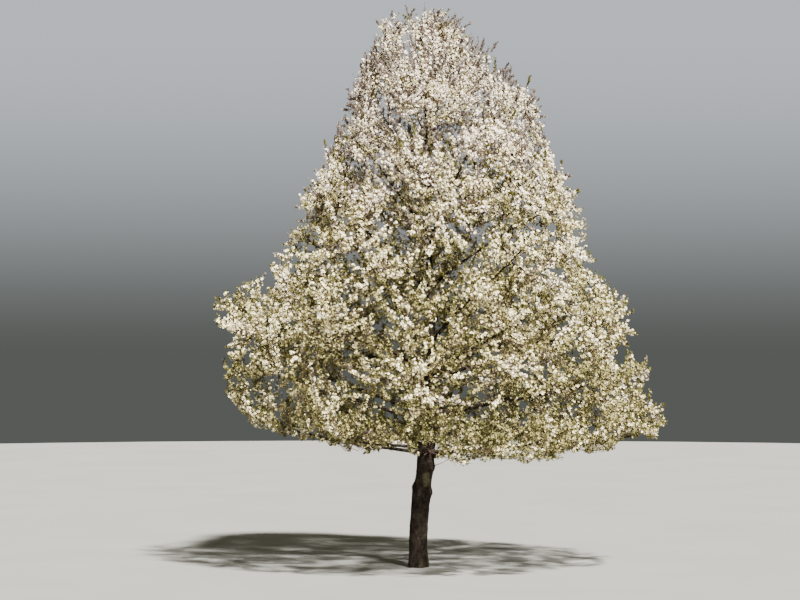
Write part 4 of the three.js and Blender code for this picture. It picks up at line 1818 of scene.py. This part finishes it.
            feet = roots[k] + way * (length * where)[:, None] + bend * (where**2)[:, None]
            self.seat_line(feet, np.tile(way, (seats, 1)), rng, tint, spray.low)
            if chance(spray.seed, k, 23) < 0.8:
                self.seat_leaves(
                    ends[1:], unit(way + UP * 0.3)[None], np.array([scale * rng.uniform(0.75, 1.1)]), leaf
                )

    def grow_wood(self, path: Path, span: Pair, length: float, seed: int) -> None:
        """Seat flowers and leaves on spurs along the wood below the sprays.

        Args:
            path: The wood's path.
            span: The places between which it bears spurs.
            length: The path's length.
            seed: The wood's own number.
        """
        count = int(length * (span[1] - span[0]) / self.inner_spacing)
        if count < 1:
            return
        rng = np.random.default_rng(seed)
        t = span[0] + (span[1] - span[0]) * (np.arange(count) + 0.5) / count
        points, along = path.points(t), path.tangents(t)
        height = float(points[:, 2].mean())
        self.seat_line(points, along, rng, self.bloom_for(points.mean(axis=0), chance(seed, 24)))
        some = rng.random(count) < 0.45
        if some.any():
            aims = unit(rng.normal(0, 1, (int(some.sum()), 3)) + UP * 0.5)
            self.seat_leaves(
                points[some], aims, np.full(len(aims), 1.2), self.leaf_for(height, chance(seed, 25))
            )

    def wood(self) -> tuple[Array, Array, list[tuple[Path, float, float]]]:
        """List the places of the limbs and shoots from which finer shoots may grow.

        Returns:
            The points, a row for each with its wood's number and its place along it, and for each
            wood its path, its length and the first place that may bear a shoot.
        """
        woods = [(limb.path, limb.length, limb.bare + 0.04) for limb in self.growth.limbs]
        woods += [(shoot.path, shoot.length, self.shoot_bare) for shoot in self.growth.shoots]
        trunk_top = self.habit.trunk_top
        woods.append(
            (
                AxisPath(self.habit, self.lowest_on_trunk, trunk_top),
                trunk_top - self.lowest_on_trunk, 0.0,
            )
        )
        points, places = [], []
        for number, (path, length, first) in enumerate(woods):
            t = np.linspace(first, 1, max(4, int(length / 60)))
            points.append(path.points(t))
            places.append(np.stack([np.full(len(t), number), t], axis=1))
        return np.concatenate(points), np.concatenate(places), woods

    def ragged_tip(self, tip: Array, shell: Shell, level: int, index: int) -> Array:
        """Move a shell's point in, up or down, so that the crown is ragged and hangs as in the photo.

        Args:
            tip: The point.
            shell: The shell.
            level: The shell's number.
            index: The point's number on it.

        Returns:
            The shoot's tip.
        """
        noise = value_noise(tip[None] / self.lobe_size, self.lobe_seed)[0]
        middle, swing_of_lobes = self.lobe_noise
        hollow = float(np.clip(middle + swing_of_lobes * noise, 0, 1))
        inward = self.habit.axis(tip[2]) - tip
        hollow *= self.raggedness * shell.ragged * (1 - self.top_firmness * self.height_share(tip[2]))
        tip = tip + inward * hollow + unit(inward) * self.depth_jitter * chance(level, index, 31)
        high = self.height_share(tip[2])
        rise = self.depth_jitter * swing(level, index, 32)
        rise = rise + high * self.overshoot * chance(level, index, 34) ** 3
        rise += shell.spire * mix(*self.spire_share, chance(level, index, 35))
        spread = mix(self.most_short, self.most_over[shell.spire > 0], chance(level, index, 36))
        most = self.ceiling(tip) + self.spire_rise * spread
        hang = self.hang_at(tip[0]) * (1 - climb(*self.hang_span, tip[2]))
        tip[2] = min(tip[2] + rise, most) - hang
        return tip

    def grow_fine_shoots(self) -> None:
        """Grow finer shoots by the rule of the shoots, to the points of more shells that are still free."""
        points, places, woods = self.wood()
        for level, shell in enumerate(self.fine_shells):
            for index, tip in enumerate(self.growth.shell_points(shell)):
                high = self.height_share(tip[2])
                tip = self.ragged_tip(tip, shell, level, index)
                room = self.clearances[level] * self.scale_at(tip[2]) * mix(1, self.high_density, high)
                if self.crowd.nearest(tip) < room or tip[2] < self.lower_edge(tip[None])[0]:
                    continue
                distances = np.linalg.norm(points - tip, axis=1)
                nearest = int(distances.argmin())
                distance = float(distances[nearest])
                if distance < self.shortest_fine_shoot:
                    continue
                path, length, first = woods[int(places[nearest, 0])]
                setback = mix(*self.fine_setback, high)
                root = path.point(max(places[nearest, 1] - setback * distance / length, first))
                reach = float(np.linalg.norm(tip - root))
                middle = (root + tip) / 2 - UP * self.fine_sag * reach
                middle[2] = max(middle[2], shell.low)
                shoot = BezierPath(np.array([root, middle, tip]))
                covered = min(self.fine_spray[0], self.fine_share * reach)
                varied, short, lost, spired = self.fine_widths
                width = self.fine_spray[1] * (1 + varied * swing(level, index, 33))
                width = width * mix(short, 1, covered / self.fine_spray[0])
                width *= 1 - lost * high
                width *= spired if shell.spire or shell.ragged < 1 else 1
                start = 1 - covered / reach
                seed = self.fine_seed + level * self.shell_seeds + index
                self.grow_spray(Spray(shoot, start, covered, width, seed, spire=shell.spire > 0))
                t = np.linspace(0, 1, 3)
                at_root = self.fine_shoot_radius + self.fine_taper * reach
                at_tip = self.fine_tip[0] + self.fine_tip[1] * high
                self.fine_shoots.add(shoot.points(t), mix(at_root, at_tip, t))

    def grow_trunk_shoots(self) -> None:
        """Grow the few thin shoots that the trunk bears under the crown, one tuft of flowers among them."""
        for number, shoot in enumerate(self.trunk_shoots):
            root = self.habit.axis(shoot.height)
            azimuth = math.radians(shoot.azimuth)
            tip = root + heading(azimuth) * shoot.length + UP * shoot.rise
            path = BezierPath(np.array([root, (root + tip) / 2 - UP * shoot.sag, tip]))
            t = np.linspace(0, 1, 9)
            self.shoots.add(path.points(t), mix(shoot.radius, 2.5, t))
            if shoot.bare < 1:
                length = (1 - shoot.bare) * shoot.length
                width = min(self.trunk_spray_width, length)
                seed = self.trunk_shoot_seed + number
                self.grow_spray(Spray(path, shoot.bare, length, width, seed, low=True))

    def grow_trunk_spurs(self) -> None:
        """Grow short flowering spurs round the upper trunk, a golden turn apart."""
        habit = self.habit
        for k in range(self.trunk_spurs):
            share = (k + 0.5) / self.trunk_spurs
            height = mix(*self.spur_span, share)
            azimuth = math.radians(GOLDEN_TURN * k)
            rise = math.radians(mix(*self.spur_rise, share))
            length = self.spur_length * mix(0.75, 1.25, chance(k, 41)) * mix(1.15, 0.75, share)
            way = np.array(
                [math.cos(azimuth) * math.cos(rise), math.sin(azimuth) * math.cos(rise), math.sin(rise)]
            )
            root = habit.axis(height)
            tip = root + way * (length + float(habit.trunk_radius(height)))
            path = BezierPath(np.array([root, (root + tip) / 2 - UP * 0.1 * length, tip]))
            t = np.linspace(0, 1, 3)
            self.fine_shoots.add(path.points(t), mix(6, 2.5, t))
            bare, width = self.spur_bare, self.spur_width
            self.grow_spray(Spray(path, bare, (1 - bare) * length, width, self.spur_seed + k))

    def grow(self) -> "FineGrowth":
        """Grow everything finer than the shoots.

        Returns:
            The same growth, now with its lines and seats.
        """
        habit = self.habit
        for shoot in self.growth.shoots:
            if not self.above_edge(shoot.path):
                continue
            neck = 1 - min(habit.plume_length, habit.longest_share * shoot.length) / shoot.length
            t = np.linspace(0, 1, 9)
            end = (1 - habit.shoot_taper) * shoot.radius
            radii = np.where(
                t < neck, mix(shoot.radius, end, t / max(neck, 0.01)), mix(end, 2.0, (t - neck) / (1 - neck))
            )
            self.shoots.add(shoot.path.points(t), radii * 0.8)
            self.grow_wood(shoot.path, (self.shoot_bare, neck), shoot.length, self.shoot_seed + shoot.index)
        for limb in self.growth.limbs:
            first = max(limb.bare * 0.55, 420 / limb.length) if limb.girth > habit.leader_girth else 0.05
            neck = 1 - habit.plume_length / limb.length
            self.grow_wood(limb.path, (first, neck), limb.length, self.limb_seed + limb.index)
        for spray in self.growth.sprays:
            if not self.above_edge(spray.path):
                continue
            if isinstance(spray.path, BezierPath) and spray.start == 0.0:
                t = np.linspace(0, 1, 4)
                self.shoots.add(spray.path.points(t), np.array([6.5, 5.2, 3.8, 2.0]))
            self.grow_spray(spray)
        self.grow_trunk_shoots()
        self.grow_trunk_spurs()
        self.grow_fine_shoots()
        LOG.info(
            "%d clusters, %d tufts", sum(map(len, self.flowers.places)), sum(map(len, self.leaves.places))
        )
        return self


def source_object(
    name: str, vertices: Array, faces: list[list[int]], hearts: list[tuple]
) -> Piece:
    """Make a small object to be set on seats, whose UV map holds each corner's distance from the heart.

    Args:
        name: The object's name.
        vertices: Its vertices, in millimetres.
        faces: Its faces.
        hearts: Each face's corners' distances from the heart.

    Returns:
        The object, not linked to the scene.
    """
    mesh = bpy.data.meshes.new(name)
    mesh.from_pydata(vertices * METRE, [], faces)
    uv = mesh.uv_layers.new(name="UVMap")
    uv.data.foreach_set("uv", [n for face in hearts for h in face for n in (h, 0.5)])
    return bpy.data.objects.new(name, mesh)


@dataclass
class Scattered:
    """Small things of one kind that sit on seats, in pieces of one tint each."""

    fine: FineGrowth

    def scatter(self, seats: Seats, made: list[Piece], tints: list[Enum], tissue: Tree, slot: str) -> None:
        """Set small objects on seats, in pieces of one tint and of a limited size.

        Args:
            seats: Where they sit.
            made: The small objects, not linked to the scene.
            tints: The tints, each a finish.
            tissue: The shared group of thin tissue.
            slot: Not used.
        """
        sources = bpy.data.collections.new(f"{self.pieces}_sources")
        for source in made:
            sources.objects.link(source)
        most = int(PIECE_LIMIT / (sum(map(triangle_count, made)) / len(made)))
        tree = scatter_tree(f"{self.pieces}_scatter")
        for number, tint in enumerate(tints):
            places, aims, sizes = seats.of_tint(number)
            material = tint.value.material(tissue)
            parts = max(1, math.ceil(len(places) / most))
            for part in range(parts):
                chosen = slice(part, None, parts)
                label = f"{self.pieces}_{tint.name.lower()}" + (f"_{part + 1}" if parts > 1 else "")
                piece = seats_object(label, places[chosen], aims[chosen], sizes[chosen])
                run_tree(piece, tree, {
                    "Sources": sources, "Variants": len(made), "Size": 1.0, "Spread": self.spread,
                    "Seed": self.seed + 10 * number + part, "Material": material,
                })
                finish_piece(piece, nodes_named("blossom_"))
        for source in made:
            bpy.data.objects.remove(source)
        bpy.data.collections.remove(sources)


@dataclass
class Blossom(Scattered):
    """The flowers: clusters of open five-petalled flowers, dealt out by spray to a few tints."""

    pieces: str = "blossom"
    spread: float = 0.12  # of their sizes
    flower_radius: float = 25
    stalk: float = 32
    cluster_sizes: tuple[int, ...] = (4, 3, 4, 3, 5, 3)
    petal_half_angle: float = 28
    cup: float = 0.3
    twist: float = 0.16  # how far one corner of a petal stands above the other
    seed: int = 7

    def flower(
        self, place: Array, aim: Array, roll: float, radius: float
    ) -> tuple[Array, list, list]:
        """Shape one flower of five petals.

        Args:
            place: Its heart.
            aim: The way it faces.
            roll: Its turn about that way.
            radius: Its radius.

        Returns:
            Its vertices, its faces and each corner's distance from the heart.
        """
        side = unit(np.cross(aim, [0.31, 0.2, 0.93]))
        up = np.cross(aim, side)
        vertices, faces, hearts = [place], [], []
        half = math.radians(self.petal_half_angle)
        for petal in range(5):
            turn = roll + 2 * np.pi * petal / 5
            first = len(vertices)
            for angle, rise in ((-half, self.cup - self.twist), (half, self.cup + self.twist)):
                flat = side * math.cos(turn + angle) + up * math.sin(turn + angle)
                vertices.append(place + (flat + aim * rise) * radius)
            faces.append([0, first, first + 1])
            hearts.append((0.0, 1.0, 1.0))
        return np.array(vertices), faces, hearts

    def cluster(self, number: int, flowers: int) -> Piece:
        """Make one cluster of flowers on stalks of one length.

        Args:
            number: The cluster's number among its kind.
            flowers: How many flowers it has.

        Returns:
            The cluster, not linked to the scene.
        """
        rng = np.random.default_rng(self.seed * 100 + number)
        vertices, faces, hearts, count = [], [], [], 0
        for k in range(flowers):
            turn = 2 * np.pi * (k + rng.uniform(-0.2, 0.2)) / flowers
            lean = rng.uniform(0.55, 1.4) if k else rng.uniform(0, 0.4)
            way = np.array([math.sin(lean) * math.cos(turn), math.sin(lean) * math.sin(turn), math.cos(lean)])
            place = way * self.stalk * rng.uniform(0.75, 1.2)
            aim = unit(way + rng.normal(0, 0.2, 3))
            v, f, h = self.flower(place, aim, rng.uniform(0, 2), self.flower_radius * rng.uniform(0.88, 1.1))
            vertices.append(v)
            faces.extend([i + count for i in face] for face in f)
            hearts.extend(h)
            count += len(v)
        return source_object(f"cluster_{number}", np.concatenate(vertices), faces, hearts)

    def build(self, tissue: Tree) -> None:
        """Set the clusters on their seats, in pieces of one tint each, with the shared tissue group."""
        made = [self.cluster(number, flowers) for number, flowers in enumerate(self.cluster_sizes)]
        self.scatter(self.fine.flowers, made, list(Bloom), tissue, "blossom")


@dataclass
class YoungLeaves(Scattered):
    """The young leaves: folded blades in tufts at the ends of twigs and spurs."""

    pieces: str = "leaves"
    spread: float = 0.12  # of their sizes
    blade: float = 70
    half_width: float = 16
    fold: float = 11
    droop: float = 0.12
    tuft_sizes: tuple[int, ...] = (3, 2, 3, 2)
    seed: int = 40

    def tuft(self, number: int, blades: int) -> Piece:
        """Make one tuft of leaves.

        Args:
            number: The tuft's number among its kind.
            blades: How many leaves it has.

        Returns:
            The tuft, not linked to the scene.
        """
        rng = np.random.default_rng(self.seed * 100 + number)
        vertices, faces, hearts = [], [], []
        for k in range(blades):
            turn = 2 * np.pi * (k + rng.uniform(-0.25, 0.25)) / blades
            lean = rng.uniform(0.35, 0.95)
            out = heading(turn)
            way = out * math.sin(lean) + UP * math.cos(lean)
            side = np.cross(UP, out)
            lift = np.cross(way, side)
            length = self.blade * rng.uniform(0.75, 1.15)
            width = self.half_width * rng.uniform(0.85, 1.2)
            first = len(vertices)
            vertices.append(way * 4)
            vertices.append(way * length * 0.48 + side * width + lift * self.fold)
            vertices.append(way * length + lift * length * self.droop)
            vertices.append(way * length * 0.48 - side * width + lift * self.fold)
            for a, b, c in ((0, 1, 2), (0, 2, 3)):
                faces.append([first + a, first + b, first + c])
                hearts.append(tuple((0.0, 0.6, 1.0, 0.6)[i] for i in (a, b, c)))
        return source_object(f"tuft_{number}", np.array(vertices), faces, hearts)

    def build(self, tissue: Tree) -> None:
        """Set the tufts on their seats, in pieces of one tint each, with the shared tissue group."""
        made = [self.tuft(number, blades) for number, blades in enumerate(self.tuft_sizes)]
        self.scatter(self.fine.leaves, made, list(Foliage), tissue, "leaf")


@dataclass
class Twigs:
    """The wood of the shoots and of the finest twigs."""

    fine: FineGrowth
    shoot_sides: int = 4
    fine_sides: int = 3
    twig_sides: int = 3

    def build(self, bark: Material) -> None:
        """Make the shoots, the finer shoots and the twigs, each kind as one piece.

        Args:
            bark: The bark of all three pieces.
        """
        tree = twig_tree("twig_thickness")
        kinds = (
            ("shoots", self.fine.shoots, self.shoot_sides),
            ("fine_shoots", self.fine.fine_shoots, self.fine_sides),
            ("twigs", self.fine.twigs, self.twig_sides),
        )
        for name, lines, sides in kinds:
            piece = lines.to_object(name)
            run_tree(piece, tree, {"Sides": sides, "Material": bark})
            finish_piece(piece, nodes_named("blossom_"))


# The studio


def aim(piece: Piece, place: Place, target: Place) -> None:
    """Stand a light or camera at a place and turn it to a target, both in metres."""
    piece.location = place
    piece.rotation_euler = (Vector(target) - Vector(place)).to_track_quat("-Z", "Y").to_euler()


@dataclass(frozen=True)
class Studio:
    """A pale floor, soft light and the camera at the photograph's angle. Metres."""

    floor_radius: float = 49
    floor_corners: int = 96
    floor_colors: tuple[Color, Color] = ((0.103, 0.103, 0.099), (0.116, 0.116, 0.111))
    backdrop: tuple[Color, Color] = ((0.1, 0.108, 0.1), (0.62, 0.66, 0.7))  # low and high
    # slopes between which it turns from one to the other
    backdrop_rise: Pair = (-0.025, 0.085)
    ambient: Color = (0.3, 0.29, 0.2)
    key_color: Color = (1.0, 0.96, 0.88)
    key_strength: float = 38.0
    key_softness: float = 4.0
    fill_strength: float = 0.7
    fill_softness: float = 60
    key_place: Place = (15, -30, 47)
    fill_place: Place = (-34, -30, 16)
    lit_point: Place = (0, 0, 5)  # at which both lights shine
    camera_place: Place = (-0.354, -60.0, 5.54)
    camera_target: Place = (-0.354, 0.0, 5.256)
    camera_reach: Pair = (1.0, 400.0)
    lens: float = 137.25
    sensor: float = 36.0

    def floor(self) -> None:
        """Lay the floor."""
        angle = np.linspace(0, 2 * np.pi, self.floor_corners, endpoint=False)
        rim = np.stack([np.cos(angle), np.sin(angle), 0 * angle], 1) * self.floor_radius
        mesh = bpy.data.meshes.new("floor")
        mesh.from_pydata(rim, [], [list(range(self.floor_corners))])
        material, graph = new_material("floor_paint")
        where = graph.node("ShaderNodeTexCoord").outputs["Object"]
        share = graph.ramp(graph.noise(where, 0.35, 4), 0.3, 0.7)
        color = graph.blend(share, *(rgba(color) for color in self.floor_colors))
        graph.cover({"Base Color": color, "Roughness": 0.9})
        mesh.materials.append(material)
        add_object("floor", mesh)

    def sun(self, name: str, strength: float, softness: float, place: Place) -> None:
        """Hang a broad, distant light that shines from a place to the tree's middle.

        Args:
            name: The light's name.
            strength: Its strength.
            softness: How broad it looks, in degrees.
            place: Where it shines from, in metres.
        """
        light = bpy.data.lights.new(name, "SUN")
        light.energy, light.angle, light.color = strength, math.radians(softness), self.key_color
        aim(add_object(name, light), place, self.lit_point)

    def world(self) -> None:
        """Light the tree evenly from all round, before a plain backdrop."""
        world = bpy.data.worlds.new("studio")
        world.use_nodes = True
        world.node_tree.nodes.clear()
        graph = Graph(world.node_tree)
        seen = graph.node("ShaderNodeLightPath").outputs["Is Camera Ray"]
        soft = graph.node("ShaderNodeBackground", {"Color": rgba(self.ambient), "Strength": 1.0}).outputs[0]
        way = graph.node("ShaderNodeTexCoord").outputs["Generated"]
        slope = graph.node("ShaderNodeSeparateXYZ", {0: way}).outputs[2]
        share = graph.ramp(slope, *self.backdrop_rise, interpolation_type="SMOOTHSTEP")
        graded = graph.blend(share, *(rgba(color) for color in self.backdrop))
        plain = graph.node("ShaderNodeBackground", {"Color": graded, "Strength": 1.0}).outputs[0]
        both = graph.node("ShaderNodeMixShader", {0: seen, 1: soft, 2: plain}).outputs[0]
        graph.node("ShaderNodeOutputWorld", {"Surface": both})
        bpy.context.scene.world = world

    def camera(self) -> None:
        """Set up the camera."""
        lens = bpy.data.cameras.new("camera")
        lens.lens, lens.sensor_width = self.lens, self.sensor
        lens.clip_start, lens.clip_end = self.camera_reach
        camera = add_object("camera", lens)
        aim(camera, self.camera_place, self.camera_target)
        bpy.context.scene.camera = camera

    def build(self) -> None:
        """Make everything that is not part of the tree."""
        self.floor()
        self.sun("key_light", self.key_strength, self.key_softness, self.key_place)
        self.sun("fill_light", self.fill_strength, self.fill_softness, self.fill_place)
        self.world()
        self.camera()


def main() -> None:
    """Build the tree from the ground up, then the studio."""
    logging.basicConfig(level=logging.INFO, format="%(message)s")
    growth = Growth(Habit()).grow()
    LOG.info("%d limbs, %d shoots, %d sprays", len(growth.limbs), len(growth.shoots), len(growth.sprays))
    bark, tissue = bark_group(), tissue_group()
    limb_bark = LIMB_BARK_WITH_SHADE.material(bark)
    Trunk(growth).build(OLD_BARK_WITH_SHADE.material(bark), limb_bark)
    Limbs(growth).build(limb_bark)
    fine = FineGrowth(growth).grow()
    Twigs(fine).build(TWIG_BARK.material(bark))
    Blossom(fine).build(tissue)
    YoungLeaves(fine).build(tissue)
    Studio().build()


if __name__ == "__main__":
    main()
